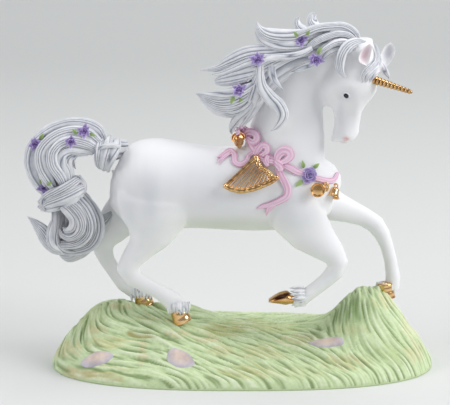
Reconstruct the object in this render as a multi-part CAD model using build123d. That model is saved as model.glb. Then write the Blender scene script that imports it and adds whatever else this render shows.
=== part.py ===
from build123d import *
import math
import os

# Porcelain unicorn cantering over a grassy base, in millimetres.
# +X is the way the unicorn runs, +Y is its far side and +Z is up.
# The origin is the middle of the base's flat underside.

# Base
base_length = 218
base_width = 98
base_squareness = 2.5
rim_height = 5
meadow_height = 17
base_wall = 4
vent_diameter = 7

# Body
body_height = 105
rump_setback = 75
torso_length = 130
barrel_depth = 52.4
barrel_half_width = 21

# Neck and head
neck_reach = 34
neck_rise = 78
neck_depth = 48
neck_width = 32
head_length = 56
head_depth = 30
head_width = 21
head_turn = 30
ear_length = 15
ear_width = 8
horn_length = 26.5
horn_diameter = 5
horn_beads = 10

# Legs
hind_leg_depth = 24
hind_leg_width = 9.6
fore_leg_depth = 15
fore_leg_width = 9
leg_spacing = 23
hoof_length = 11
hoof_width = 9
hoof_seat = 1.2

# Tail
tail_reach = 52
tail_fall = 80
tail_thickness = 11
tail_wrap_thickness = 3.4

# Mane
mane_reach = 84
mane_fall = 70
mane_thickness = 15
lock_thickness = 8
forelock_thickness = 3.6

# Ornaments
flower_diameter = 9
rose_diameter = 10
leaf_length = 6.5
leaf_width = 3
leaf_thickness = 1
ribbon_width = 5
ribbon_thickness = 1.6
harp_height = 23
harp_bar = 2.6
harp_string_diameter = 0.7
harp_strings = 8
bell_diameter = 8
bell_wall = 0.9
stone_thickness = 5
seat_depth = 0.6

Y_SIDE = Vector(0, 1, 0)
pieces = {}


def ring(centre, along, across, half_across, rise, fall, points=12):
    """A smooth closed section square to the path, rise and fall on its two faces."""
    along = along.normalized()
    side = (across - along * across.dot(along)).normalized()
    up = along.cross(side)
    outline = []
    for i in range(points):
        turn = 2 * math.pi * i / points
        height = rise if math.sin(turn) > 0 else fall
        outline.append(centre + side * (half_across * math.cos(turn)) + up * (height * math.sin(turn)))
    return Wire([Edge.make_spline(outline, periodic=True)])


def between(before, start, end, after, place):
    """Catmull-Rom step from start to end, for points and for plain sizes alike."""
    first = (end - before) * place
    second = (before * 2 - start * 5 + end * 4 - after) * place ** 2
    third = (start * 3 - before - end * 3 + after) * place ** 3
    return (start * 2 + first + second + third) * 0.5


def refine(stations, steps):
    """Stations with evenly eased ones added between each two."""
    last = len(stations) - 1
    finer = []
    for i in range(last):
        four = [stations[max(i - 1, 0)], stations[i], stations[i + 1], stations[min(i + 2, last)]]
        for step in range(steps):
            finer.append(tuple(between(*values, step / steps) for values in zip(*four)))
    finer.append(stations[last])
    return finer


def limb(stations, tip=None, across=Y_SIDE, steps=2, points=10):
    """A flesh or hair form lofted through (centre, half width, rise, fall) stations."""
    stations = refine(stations, steps)
    centres = [station[0] for station in stations]
    if tip is not None:
        centres.append(tip)
    sections = []
    for i, (centre, half_across, rise, fall) in enumerate(stations):
        along = centres[min(i + 1, len(centres) - 1)] - centres[max(i - 1, 0)]
        sections.append(ring(centre, along, across, half_across, rise, fall, points))
    if tip is not None:
        sections.append(Vertex(tip.X, tip.Y, tip.Z))
    return Solid.make_loft(sections, ruled=True)


def largest(shape):
    """The biggest solid of a cut, which is the piece itself without its trimmings."""
    return max(shape.solids(), key=lambda solid: solid.volume)


def apart(one, other):
    """Whether the boxes round two shapes stay clear of each other."""
    a, b = one.bounding_box(), other.bounding_box()
    gaps = (a.min - b.max, b.min - a.max)
    return any(value > 0 for gap in gaps for value in (gap.X, gap.Y, gap.Z))


def settle(name, shape, *carriers):
    """Lute a piece onto its carriers: where it meets them it is cut to their faces."""
    kept = []
    for solid in shape.solids():
        for carrier in carriers:
            if not apart(solid, pieces[carrier]):
                solid = largest(solid - pieces[carrier])
        kept.append(solid)
    pieces[name] = kept[0] if len(kept) == 1 else Compound(children=kept)


def land(carriers, start, heading):
    """Where a line from outside first meets the carriers, or else their nearest place to it."""
    heading = heading.normalized()
    hits = []
    for carrier in carriers:
        for point, normal in carrier.find_intersection_points(Axis(start, heading)):
            hits.append(((point - start).dot(heading), point, normal))
    if hits:
        reach, point, normal = min(hits, key=lambda hit: hit[0])
        return point, normal * (-1 if normal.dot(heading) > 0 else 1)
    nearest = [carrier.closest_points(Vertex(start.X, start.Y, start.Z))[0] for carrier in carriers]
    point = min(nearest, key=lambda place: (place - start).length)
    return point, (start - point).normalized()


def along_path(points, place):
    """A point at a share of the way along a list of points."""
    spot = place * (len(points) - 1)
    i = min(int(spot), len(points) - 2)
    return points[i] + (points[i + 1] - points[i]) * (spot - i)


# Skeleton places, each chained from the sizes above
rump_x = -rump_setback
hip_x = rump_x + 0.2 * torso_length
shoulder_x = rump_x + 0.73 * torso_length
near_y = -leg_spacing / 2
far_y = leg_spacing / 2
neck_start = Vector(shoulder_x, 0, body_height)
poll = neck_start + Vector(neck_reach, 0, neck_rise)
turn = math.radians(head_turn)
face_forward = Vector(math.cos(turn), -math.sin(turn), 0)
face_side = Vector(math.sin(turn), math.cos(turn), 0)


def body_point(length_share, level_share, y=0.0, foot=0.0):
    """A place by its share of the torso's length and of the height from foot to body axis."""
    x = rump_x + length_share * torso_length
    return Vector(x, y, foot + level_share * (body_height - foot))


# Hoof places as shares of the torso's length, and hoof soles on the turf
hoof_places_share = {"hindleg_near": 0.312, "hindleg_far": 0.14, "foreleg_far": 1.222}
hoof_sides = {"hindleg_near": near_y, "hindleg_far": far_y, "foreleg_far": far_y}
hoof_x = {name: rump_x + share * torso_length for name, share in hoof_places_share.items()}

# Turf mounds: place before or behind a hoof, side, rise over the meadow and half spreads,
# all as shares of the base's own sizes
mound_shares = [
    ("hindleg_far", -0.1, 0.02, 1.25, 0.1, 0.3),
    ("hindleg_near", -0.02, 0.02, 0.85, 0.105, 0.3),
    ("foreleg_far", -0.06, 0.02, 1.65, 0.095, 0.27),
    ("foreleg_far", 0.03, -0.05, 0.55, 0.085, 0.28),
]
meadow_slope_share = 0.25


def rim_share(x, y):
    """Zero in the middle of the base and one on its outline."""
    u = abs(x) / (base_length / 2)
    v = abs(y) / (base_width / 2)
    return (u ** base_squareness + v ** base_squareness) ** (1 / base_squareness)


def turf_height(x, y):
    """Height of the grass over the table: a rounded meadow with mounds under the hooves."""
    r = rim_share(x, y)
    aslant = y / (base_width / 2)
    meadow = meadow_height * (1 + meadow_slope_share * aslant)
    height = rim_height + (meadow - rim_height) * (1 - r ** (4 + 2 * aslant))
    for hoof, ahead, aside, rise, spread_x, spread_y in mound_shares:
        dx = (x - hoof_x[hoof] - ahead * base_length) / (spread_x * base_length)
        dy = (y - aside * base_width) / (spread_y * base_width)
        height += rise * meadow_height * math.exp(-(dx * dx + dy * dy) ** 1.3) * max(0.0, 1 - r ** 6)
    return height


def turf_block(inset, drop, floor):
    """Everything under the grass: the outline raised and cut by the grass surface."""
    half_x = base_length / 2 - inset
    half_y = base_width / 2 - inset
    outline = []
    for i in range(32):
        angle = 2 * math.pi * i / 32
        x = half_x * math.copysign(abs(math.cos(angle)) ** (2 / base_squareness), math.cos(angle))
        y = half_y * math.copysign(abs(math.sin(angle)) ** (2 / base_squareness), math.sin(angle))
        outline.append(Vector(x, y, floor))
    face = Face(Wire([Edge.make_spline(outline, periodic=True)]))
    block = Solid.extrude(face, Vector(0, 0, 4 * meadow_height))
    rows = []
    for i in range(24):
        x = (2 * i / 23 - 1) * 0.56 * base_length
        row = []
        for j in range(12):
            y = (2 * j / 11 - 1) * 0.56 * base_width
            row.append(Vector(x, y, turf_height(x, y) - drop))
        rows.append(row)
    surface = Face.make_surface_from_array_of_points(rows, tol=0.02 * meadow_height)
    return largest(block.split(surface, keep=Keep.BOTTOM))


def make_base():
    """Hollow slip-cast base, flat underneath, with two vent holes for the firing."""
    outer = turf_block(0, 0, 0)
    hollow = turf_block(base_wall, base_wall, base_wall)
    base = outer - hollow
    for side in (-1, 1):
        vent = Cylinder(vent_diameter / 2, 2 * base_wall).moved(Location((side * base_length / 4, 0, base_wall / 2)))
        base = base - vent
    settle("ground_base", base)


# Torso sections: share of length, centre shift, half height and half width shares
torso_shares = [
    (0.0, 0.06, 0.05, 0.1), (0.02, 0.03, 0.25, 0.43), (0.062, 0.02, 0.39, 0.74),
    (0.132, 0.015, 0.48, 0.93), (0.22, 0.015, 0.5, 1.0), (0.328, 0.0, 0.468, 0.94),
    (0.458, -0.027, 0.448, 0.91), (0.588, -0.027, 0.466, 0.93), (0.72, -0.03, 0.46, 0.93),
    (0.828, -0.03, 0.424, 0.88), (0.915, -0.013, 0.351, 0.74), (0.971, 0.0, 0.223, 0.5),
    (1.0, -0.02, 0.048, 0.1),
]


def make_torso():
    """Barrel, haunches and chest lofted along the body axis."""
    stations = []
    for along, shift, half_height, half_width in torso_shares:
        centre = Vector(rump_x + along * torso_length, 0, body_height + shift * barrel_depth)
        half = half_height * barrel_depth
        stations.append((centre, half_width * barrel_half_width, half, half))
    settle("torso", limb(stations))


# Neck sections: reach, rise, half depth and half width shares
neck_shares = [
    (0.0, 0.0, 0.47, 0.53), (0.085, 0.2, 0.49, 0.5), (0.15, 0.413, 0.4375, 0.42),
    (0.218, 0.615, 0.38, 0.36), (0.38, 0.79, 0.32, 0.32), (0.665, 0.923, 0.27, 0.3),
    (1.0, 1.0, 0.235, 0.28),
]
neck_line = [neck_start + Vector(a * neck_reach, 0, b * neck_rise) for a, b, _, _ in neck_shares]


def make_neck():
    """Arched neck, deep at the shoulder and finer at the throat."""
    stations = []
    for centre, (_, _, depth, width) in zip(neck_line, neck_shares):
        stations.append((centre, width * neck_width, depth * neck_depth, depth * neck_depth))
    settle("neck", limb(stations), "torso")


# Head sections down from the poll: drop, forward shift, half depth and half width shares
head_shares = [
    (-0.12, 0.04, 0.12, 0.16), (-0.07, 0.05, 0.27, 0.34), (0.05, 0.06, 0.42, 0.46),
    (0.2, 0.06, 0.49, 0.5), (0.37, 0.05, 0.52, 0.52), (0.47, 0.04, 0.47, 0.47),
    (0.6, 0.0, 0.31, 0.36), (0.72, -0.03, 0.25, 0.32), (0.84, -0.04, 0.25, 0.34),
    (0.93, -0.05, 0.19, 0.28), (0.98, -0.05, 0.08, 0.14),
]
head_offset_share = (0.11, -0.06)
head_lean_share = 0.12


def head_point(drop, forward, aside=0.0):
    """A place on the turned head by shares of its length, depth and width."""
    top = poll + Vector(head_offset_share[0] * head_depth, head_offset_share[1] * head_length, 0)
    lean = face_side * (-head_lean_share * drop * head_length)
    across = face_forward * (forward * head_depth) + face_side * (aside * head_width)
    return top + across + lean + Vector(0, 0, -drop * head_length)


def make_head():
    """Tapered wedge head with round cheeks and a small muzzle, turned towards the near side."""
    stations = []
    for drop, forward, half_depth, half_width in head_shares:
        half = half_depth * head_depth
        stations.append((head_point(drop, forward), half_width * head_width, half, half))
    sections = []
    for centre, half_across, rise, fall in stations:
        sections.append(ring(centre, Vector(0, 0, -1), face_side, half_across, rise, fall))
    settle("head", Solid.make_loft(sections), "neck")


def make_ear(name, root, tip, facing):
    """Leaf-shaped ear with a cupped front."""
    line = tip - root
    outer = []
    for place, width, thick in ((0, 0.22, 0.2), (0.3, 0.46, 0.3), (0.62, 0.4, 0.22), (0.88, 0.16, 0.1)):
        outer.append((root + line * place, width * ear_width, thick * ear_width, thick * ear_width))
    across = line.cross(facing)
    shell = limb(outer, tip=tip, across=across, steps=1)
    cup = []
    for place, width, thick in ((0.22, 0.16, 0.12), (0.42, 0.3, 0.2), (0.66, 0.24, 0.16)):
        spot = root + line * place + facing.normalized() * (0.3 * ear_width)
        cup.append((spot, width * ear_width, thick * ear_width, thick * ear_width))
    settle(name, shell - limb(cup, across=across, steps=1), "head")


def make_ears():
    """Two pricked ears high on the skull."""
    make_ear("ear_near", head_point(0.13, 0.3, -0.42), head_point(-0.12, 0.44, -0.56), face_forward)
    make_ear("ear_far", head_point(0.15, 0.46, 0.2), head_point(-0.07, 0.62, 0.52), face_forward)


def make_horn():
    """Slim horn wound with a beaded ridge that shrinks towards the tip."""
    root, _ = land([pieces["head"]], head_point(0.32, 1.6, 0.05), face_forward * -1)
    pitch = math.radians(-12)
    heading = face_forward * math.cos(pitch) + Vector(0, 0, math.sin(pitch))
    start = -0.1 * horn_length
    outline = [(0, start)]
    for i in range(horn_beads):
        for share, swell in ((0.0, 0.78), (0.5, 1.0)):
            reach = (i + share) / horn_beads
            taper = 1 - 0.82 * reach
            outline.append((horn_diameter / 2 * taper * swell, start + reach * (horn_length - start)))
    outline.append((0.05 * horn_diameter, horn_length))
    outline.append((0, horn_length))
    edges = [Edge.make_line(Vector(a[0], 0, a[1]), Vector(b[0], 0, b[1])) for a, b in zip(outline, outline[1:])]
    edges.append(Edge.make_line(Vector(0, 0, horn_length), Vector(0, 0, start)))
    cone = Solid.revolve(Face(Wire(edges)), 360, Axis.Z)
    settle("horn", Plane(origin=root, z_dir=heading).location * cone, "head")


# Leg lines from the body down to the hoof: share of torso length, share of the height between
# the hoof's top and the body axis, then half depth and half width shares of the leg's own sizes
hind_near_shares = [
    (0.2, 1.03, 0.96, 0.75), (0.205, 0.92, 1.0, 1.02), (0.19, 0.735, 0.76, 0.98),
    (0.175, 0.62, 0.53, 0.8), (0.145, 0.53, 0.345, 0.6), (0.1, 0.43, 0.265, 0.5),
    (0.078, 0.345, 0.27, 0.48), (0.105, 0.265, 0.225, 0.42), (0.16, 0.205, 0.19, 0.36),
    (0.22, 0.145, 0.195, 0.38), (0.27, 0.08, 0.24, 0.45), (0.297, 0.0, 0.235, 0.46),
]
hind_far_shares = [
    (0.14, 0.95, 0.8, 0.7), (0.06, 0.72, 0.56, 0.85), (0.0, 0.56, 0.4, 0.68),
    (-0.035, 0.46, 0.3, 0.55), (-0.038, 0.385, 0.25, 0.46), (-0.022, 0.29, 0.19, 0.38),
    (0.015, 0.17, 0.175, 0.36), (0.055, 0.075, 0.21, 0.42), (0.115, 0.0, 0.22, 0.46),
]
fore_far_shares = [
    (0.86, 0.93, 0.9, 0.8), (0.98, 0.765, 0.6, 0.8), (1.055, 0.715, 0.45, 0.66),
    (1.115, 0.665, 0.37, 0.56), (1.165, 0.6, 0.36, 0.56), (1.195, 0.51, 0.31, 0.5),
    (1.215, 0.41, 0.26, 0.42), (1.235, 0.27, 0.25, 0.4), (1.247, 0.12, 0.29, 0.48),
    (1.243, 0.0, 0.28, 0.5),
]
# The raised leg folds at the knee, so its levels are shares of the height over the turf
fore_near_shares = [
    (0.79, 0.95, 1.1, 0.85), (0.81, 0.86, 1.0, 1.1), (0.868, 0.77, 0.85, 1.05),
    (0.925, 0.703, 0.63, 0.9), (0.97, 0.648, 0.47, 0.72), (0.99, 0.6, 0.4, 0.6),
    (0.978, 0.548, 0.35, 0.54), (0.94, 0.5, 0.29, 0.48), (0.89, 0.448, 0.27, 0.44),
    (0.84, 0.402, 0.29, 0.48), (0.795, 0.385, 0.29, 0.5),
]


def foot_level(name):
    """Height of a standing hoof's sole, pressed a little into the turf."""
    return turf_height(hoof_x[name], hoof_sides[name]) - hoof_seat


def leg_line(shares, side, foot):
    """Leg stations from a table of shares."""
    depth = hind_leg_depth if shares in (hind_near_shares, hind_far_shares) else fore_leg_depth
    width = hind_leg_width if shares in (hind_near_shares, hind_far_shares) else fore_leg_width
    stations = []
    for along, level, half_depth, half_width in shares:
        half = half_depth * depth
        stations.append((body_point(along, level, side, foot), half_width * width, half, half))
    return stations


def make_hoof(name, top, sole, top_half, sole_half, flare, *carriers):
    """Gilded hoof: a short cone that leans with the pastern, its top let into the leg."""
    top = top + (top - sole) * 0.12
    stations = [
        (top, top_half * hoof_width, top_half * hoof_width, top_half * hoof_width),
        (top + (sole - top) * 0.5, 0.5 * flare * hoof_width, 0.55 * flare * hoof_width, 0.5 * hoof_width),
        (sole, sole_half * hoof_width, sole_half * hoof_width, sole_half * hoof_width),
    ]
    settle("hoof_" + name, limb(stations, steps=1), name, *carriers)


def make_legs():
    """Four legs: three carry the unicorn and the near fore leg is folded up."""
    tables = {
        "hindleg_near": hind_near_shares, "hindleg_far": hind_far_shares,
        "foreleg_far": fore_far_shares,
    }
    for name, shares in tables.items():
        foot = foot_level(name) + 0.8 * hoof_length
        settle(name, limb(leg_line(shares, hoof_sides[name], foot), steps=1), "torso")
    settle("foreleg_near", limb(leg_line(fore_near_shares, near_y, 0), steps=1), "torso")
    for name, shares in tables.items():
        foot = foot_level(name) + 0.8 * hoof_length
        top = body_point(shares[-1][0], shares[-1][1], hoof_sides[name], foot)
        sole = Vector(hoof_x[name], hoof_sides[name], foot_level(name))
        make_hoof(name, top, sole, 0.56, 0.5, 1.12, "ground_base")
    line = leg_line(fore_near_shares, near_y, 0)
    top = line[-1][0]
    sole = top + Vector(-0.95 * hoof_length, 0, 0.1 * hoof_length)
    make_hoof("foreleg_near", top, sole, 0.5, 0.56, 1.12)


# Tail stations: reach back from the dock, fall below the croup, half thickness across and in
# the plane, as shares of the tail's own sizes
tail_root_share = (0.045, 0.47)
tail_shares = {
    "tail_dock": [
        (-0.12, -0.03, 0.6, 0.62), (0.05, -0.03, 0.72, 0.72), (0.16, -0.01, 0.86, 0.86),
        (0.28, -0.02, 0.8, 0.8),
    ],
    "tail_arch": [
        (0.2, 0.0, 0.6, 0.62), (0.36, -0.075, 0.8, 0.82), (0.56, -0.1, 1.0, 0.95),
        (0.76, -0.04, 1.08, 1.1), (0.84, 0.09, 1.05, 1.22), (0.8, 0.2, 0.95, 1.15),
        (0.7, 0.31, 0.8, 1.05),
    ],
    "tail_plume": [
        (0.7, 0.29, 0.7, 0.9), (0.6, 0.39, 0.9, 1.25), (0.56, 0.49, 1.05, 1.6),
        (0.6, 0.6, 1.0, 1.5), (0.64, 0.7, 0.85, 1.15), (0.62, 0.78, 0.55, 0.7),
    ],
    "tail_lock_left": [
        (0.7, 0.46, 0.5, 0.7), (0.86, 0.56, 0.6, 0.75), (0.97, 0.58, 0.45, 0.5),
        (1.02, 0.53, 0.28, 0.28),
    ],
    "tail_lock_right": [
        (0.46, 0.52, 0.5, 0.7), (0.32, 0.56, 0.5, 0.6), (0.2, 0.52, 0.38, 0.42),
        (0.12, 0.47, 0.2, 0.22),
    ],
    "tail_curl": [
        (0.62, 0.16, 0.5, 0.7), (0.5, 0.17, 0.5, 0.6), (0.44, 0.11, 0.38, 0.38),
        (0.42, 0.06, 0.2, 0.22),
    ],
}
tail_root = Vector(
    rump_x + tail_root_share[0] * torso_length, 0, body_height + tail_root_share[1] * barrel_depth
)


def tail_stations(name):
    """Tail stations hung from the dock."""
    stations = []
    for back, drop, across, half in tail_shares[name]:
        centre = tail_root + Vector(-back * tail_reach, 0, -drop * tail_fall)
        thick = half * tail_thickness
        stations.append((centre, across * tail_thickness, thick, thick))
    return stations


def make_wrap(name, centre, along, half_across, half_deep, *carriers):
    """Band of hair wound round the tail, swollen in the middle and open where the tail passes."""
    along = along.normalized()
    stations = []
    for place, swell in ((-1, 0.1), (-0.6, 0.8), (0, 1.0), (0.6, 0.8), (1, 0.1)):
        extra = swell * tail_wrap_thickness
        spot = centre + along * (place * 1.3 * tail_wrap_thickness)
        stations.append((spot, half_across + extra, half_deep + extra, half_deep + extra))
    settle(name, limb(stations, steps=1), *carriers)


def make_tail():
    """Tail: a wound dock, a high arch, a wrap that gathers it and a loose plume."""
    settle("tail_dock", limb(tail_stations("tail_dock")), "torso")
    settle("tail_arch", limb(tail_stations("tail_arch")), "torso", "tail_dock")
    settle("tail_plume", limb(tail_stations("tail_plume")), "tail_arch")
    for name in ("tail_lock_left", "tail_lock_right"):
        settle(name, limb(tail_stations(name), steps=1, points=8), "tail_plume")
    settle("tail_curl", limb(tail_stations("tail_curl"), steps=1, points=8), "tail_arch")
    dock = tail_stations("tail_dock")
    make_wrap("tail_dock_wrap", dock[2][0], dock[2][0] - dock[1][0], 0.8 * tail_thickness,
              0.8 * tail_thickness, "tail_dock", "tail_arch", "torso")
    knot = tail_root + Vector(-0.68 * tail_reach, 0, -0.3 * tail_fall)
    make_wrap("tail_knot_wrap", knot, Vector(0.45, 0, -1), 0.85 * tail_thickness,
              1.15 * tail_thickness, "tail_arch", "tail_plume", "tail_curl")


# Mane stations back from the poll: reach back, fall, side, half width across and in the plane
mane_shares = {
    "mane_crest": [
        (-0.02, -0.1, -0.15, 0.35, 0.35), (0.16, -0.14, -0.3, 0.6, 0.6), (0.34, -0.02, -0.45, 0.85, 0.85),
        (0.47, 0.18, -0.5, 0.95, 0.95), (0.56, 0.4, -0.45, 0.95, 0.95), (0.62, 0.6, -0.3, 0.7, 0.7),
    ],
    "mane_lock_upper": [
        (0.3, -0.08, -0.55, 0.5, 0.5), (0.42, -0.12, -0.6, 0.48, 0.48), (0.52, -0.16, -0.55, 0.34, 0.34),
    ],
    "mane_lock_second": [
        (0.42, 0.05, -0.55, 0.6, 0.55), (0.6, 0.02, -0.55, 0.55, 0.5), (0.76, 0.1, -0.5, 0.42, 0.4),
        (0.86, 0.17, -0.45, 0.28, 0.24),
    ],
    "mane_lock_third": [
        (0.56, 0.3, -0.55, 0.55, 0.55), (0.7, 0.33, -0.55, 0.5, 0.48), (0.84, 0.34, -0.5, 0.36, 0.34),
    ],
    "mane_lock_fourth": [
        (0.6, 0.44, -0.5, 0.5, 0.5), (0.74, 0.46, -0.5, 0.42, 0.42), (0.84, 0.44, -0.45, 0.3, 0.3),
    ],
    "mane_lock_withers": [
        (0.6, 0.5, -0.5, 0.45, 0.45), (0.68, 0.56, -0.5, 0.38, 0.38), (0.74, 0.6, -0.45, 0.25, 0.25),
    ],
    "mane_lock_hanging": [
        (0.52, 0.1, -1.0, 0.3, 0.34), (0.55, 0.25, -1.35, 0.32, 0.36), (0.52, 0.4, -1.4, 0.32, 0.36),
        (0.45, 0.5, -1.25, 0.26, 0.3),
    ],
    "mane_tuft_poll": [
        (0.12, -0.14, -0.3, 0.34, 0.4), (0.22, -0.2, -0.3, 0.28, 0.32), (0.28, -0.24, -0.3, 0.18, 0.2),
    ],
}
mane_tip_shares = {
    "mane_lock_upper": (0.585, -0.25, -0.4), "mane_lock_second": (0.955, 0.16, -0.4),
    "mane_lock_third": (0.975, 0.32, -0.45), "mane_lock_fourth": (0.955, 0.38, -0.4),
    "mane_lock_withers": (0.76, 0.68, -0.4), "mane_lock_hanging": (0.49, 0.62, -1.1),
    "mane_tuft_poll": (0.36, -0.29, -0.25),
}


def mane_point(back, drop, aside):
    """A place on the mane by shares of its reach, fall and thickness from the poll."""
    return poll + Vector(-back * mane_reach, aside * mane_thickness, -drop * mane_fall)


def mane_stations(name):
    """Mane stations trailing behind the poll."""
    size = mane_thickness if name == "mane_crest" else lock_thickness * 2
    stations = []
    for back, drop, aside, across, half in mane_shares[name]:
        thick = half * size
        stations.append((mane_point(back, drop, aside), across * size, thick, thick))
    return stations


def make_mane():
    """Mane blown back from the crest in separate locks."""
    settle("mane_crest", limb(mane_stations("mane_crest")), "neck", "head", "torso")
    set_locks = ["mane_crest"]
    for name, tip in mane_tip_shares.items():
        settle(name, limb(mane_stations(name), tip=mane_point(*tip), steps=1, points=8), *set_locks)
        set_locks.append(name)


# Forelocks on the head: drop, forward and aside shares of the head, thickness share
forelock_shares = {
    "forelock_near": [
        (-0.04, 0.1, -0.42, 1.0), (0.06, -0.1, -0.62, 1.1), (0.22, -0.2, -0.66, 1.0),
        (0.34, -0.1, -0.66, 0.8), (0.42, 0.06, -0.62, 0.4),
    ],
    "forelock_front": [
        (-0.06, 0.3, -0.1, 1.0), (0.06, 0.52, -0.1, 1.15), (0.18, 0.6, -0.08, 1.1),
        (0.26, 0.62, -0.04, 0.7),
    ],
}


def make_forelocks():
    """Short hair falling over the brow and down the near cheek."""
    for name, shares in forelock_shares.items():
        stations = []
        for drop, forward, aside, thick in shares:
            half = thick * forelock_thickness
            stations.append((head_point(drop, forward, aside), half, half, half))
        settle(name, limb(stations, across=face_side), "head", "neck", "mane_crest", "ear_near", "ear_far")


def girth_point(length_share, level_share):
    """A place beside the body, well clear of it on the near side."""
    x = rump_x + length_share * torso_length
    return Vector(x, -2 * barrel_half_width, body_height + level_share * barrel_depth)


def petal(root, heading, facing, length, width, thickness):
    """Pointed petal or leaf: widest past its middle, with a raised rib on both faces."""
    heading = heading.normalized()
    side = heading.cross(facing).normalized()
    up = side.cross(heading)
    middle = root + heading * (0.5 * length)
    corners = [
        middle + side * (0.5 * width), middle + up * (0.5 * thickness),
        middle - side * (0.5 * width), middle - up * (0.5 * thickness),
    ]
    tip = root + heading * length
    ends = [Vertex(root.X, root.Y, root.Z), Vertex(tip.X, tip.Y, tip.Z)]
    return Solid.make_loft([ends[0], Wire.make_polygon(corners, close=True), ends[1]], ruled=True)


def around(normal, angle, tilt):
    """A heading round a normal: angle from upwards, tilt out of the surface."""
    upward = Vector(0, 1, 0) if abs(normal.Z) > 0.9 else Vector(0, 0, 1)
    level = (upward - normal * upward.dot(normal)).normalized()
    across = normal.cross(level)
    flat = level * math.cos(angle) + across * math.sin(angle)
    return flat * math.cos(tilt) + normal * math.sin(tilt)


def blossom(diameter, rows):
    """Rows of petals round a bud facing +Z, each row steeper and shorter than the one outside it."""
    root = Vector(0, 0, -0.12 * diameter)
    petals = []
    for row, (count, reach, width, tilt) in enumerate(rows):
        for i in range(count):
            heading = around(Vector(0, 0, 1), 2 * math.pi * (i + 0.5 * row) / count, math.radians(tilt))
            length = reach * diameter / 2
            petals.append(petal(root, heading, Vector(0, 0, 1), length, width * diameter, 0.14 * diameter))
    return largest(petals[0].fuse(*petals[1:]))


flower_rows = [(6, 1.12, 0.36, 22), (5, 0.86, 0.3, 48), (3, 0.66, 0.2, 74)]
rose_rows = [(7, 1.08, 0.5, 12), (5, 0.9, 0.44, 42), (3, 0.7, 0.3, 70)]
flower_form = blossom(flower_diameter, flower_rows)
rose_form = blossom(rose_diameter, rose_rows)

# Blossoms in the hair: back and fall shares from the poll or the dock, then leaf bearings
mane_flower_shares = [
    (0.26, -0.08, (20, -40)), (0.165, 0.045, (-30,)), (0.545, 0.045, ()), (0.665, 0.286, (170, 130)),
]
tail_flower_shares = [
    (0.37, -0.11, (70, -110)), (0.5, -0.045, (40,)), (0.87, -0.045, (-60,)), (0.8, 0.27, (60, 10)),
]
mane_pieces = ["mane_crest"] + list(mane_tip_shares)
tail_pieces = ["tail_arch", "tail_plume", "tail_knot_wrap", "tail_dock_wrap", "tail_curl"]


def make_flower(name, start, carriers, diameter, form, leaf_bearings):
    """A blossom set into whatever it lands on; returns the leaves that belong under it."""
    spot, normal = land([pieces[carrier] for carrier in carriers], start, Y_SIDE)
    normal = (normal - Y_SIDE).normalized()
    settle(name, Plane(origin=spot, z_dir=normal).location * form, *carriers)
    leaves = []
    for bearing in leaf_bearings:
        heading = around(normal, math.radians(bearing), math.radians(24))
        root = spot + heading * (0.3 * diameter)
        leaves.append(petal(root, heading, normal, leaf_length, leaf_width, leaf_thickness))
    return leaves


def make_flowers():
    """Small flowers in the mane and tail, and their leaves."""
    groups = [("mane", mane_flower_shares, mane_pieces), ("tail", tail_flower_shares, tail_pieces)]
    for place, shares, carriers in groups:
        leaves = []
        names = []
        for i, (back, drop, bearings) in enumerate(shares):
            if place == "mane":
                start = mane_point(back, drop, -4)
            else:
                start = tail_root + Vector(-back * tail_reach, -4 * tail_thickness, -drop * tail_fall)
            names.append(f"{place}_flower_{i + 1}")
            leaves += make_flower(names[-1], start, carriers, flower_diameter, flower_form, bearings)
        settle(place + "_leaves", Compound(children=leaves), *names, *carriers)


# Ribbon routes over the near side: shares of the torso's length and of the barrel's depth
ribbon_shares = {
    "ribbon_swag": [(0.625, 0.56), (0.645, 0.44), (0.685, 0.38), (0.738, 0.34), (0.79, 0.27), (0.835, 0.21)],
    "ribbon_breast": [(0.84, 0.2), (0.875, 0.16), (0.915, 0.16), (0.955, 0.2), (0.985, 0.2)],
    "ribbon_tail_back": [(0.635, 0.43), (0.6, 0.36), (0.569, 0.3), (0.55, 0.38), (0.51, 0.4), (0.469, 0.35)],
    "ribbon_tail_low": [(0.735, 0.3), (0.752, 0.16), (0.768, 0.02), (0.74, -0.06), (0.69, -0.1), (0.64, -0.15)],
}


def band(points, faces, width, thickness):
    """A ribbon: a thin oblong section carried along points, flat on the given faces."""
    sections = []
    for i, (point, normal) in enumerate(zip(points, faces)):
        along = (points[min(i + 1, len(points) - 1)] - points[max(i - 1, 0)]).normalized()
        side = along.cross(normal).normalized() * (width / 2)
        up = normal.normalized() * (thickness / 2)
        sections.append(Wire.make_polygon(
            [point + side + up, point - side + up, point - side - up, point + side - up], close=True))
    return Solid.make_loft(sections, ruled=True)


def make_ribbon_run(name, route, *carriers):
    """A run of ribbon lying on the body."""
    body = [pieces["torso"], pieces["neck"], pieces["foreleg_near"]]
    points, faces = [], []
    for place in route:
        spot, normal = land(body, girth_point(*place), Y_SIDE)
        normal = (normal - Y_SIDE * 0.5).normalized()
        points.append(spot + normal * (0.5 * ribbon_thickness - 0.3 * seat_depth))
        faces.append(normal)
    settle(name, band(points, faces, ribbon_width, ribbon_thickness), "torso", "neck", "foreleg_near", *carriers)


def make_loops(name, place, loops, *carriers):
    """Bow loops of ribbon standing out of a tied knot."""
    body = [pieces["torso"], pieces["neck"]]
    spot, normal = land(body, girth_point(*place), Y_SIDE)
    centre = spot + normal * (0.4 * ribbon_width)
    shape = Sphere(0.52 * ribbon_width).moved(Location(centre))
    for angle, reach, spread in loops:
        heading = around(Y_SIDE * -1, math.radians(angle), 0)
        side = heading.cross(Y_SIDE)
        points = []
        faces = []
        for i in range(9):
            t = math.radians(-150 + i * 300 / 8)
            out = 0.5 * reach * (1 + math.cos(t))
            points.append(centre + heading * out + side * (0.5 * spread * math.sin(t)))
            faces.append(heading * math.cos(t) * spread + side * math.sin(t) * reach)
        shape = shape + band(points, faces, 0.8 * ribbon_width, ribbon_thickness)
    settle(name, largest(shape), "torso", "neck", *carriers)


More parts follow.
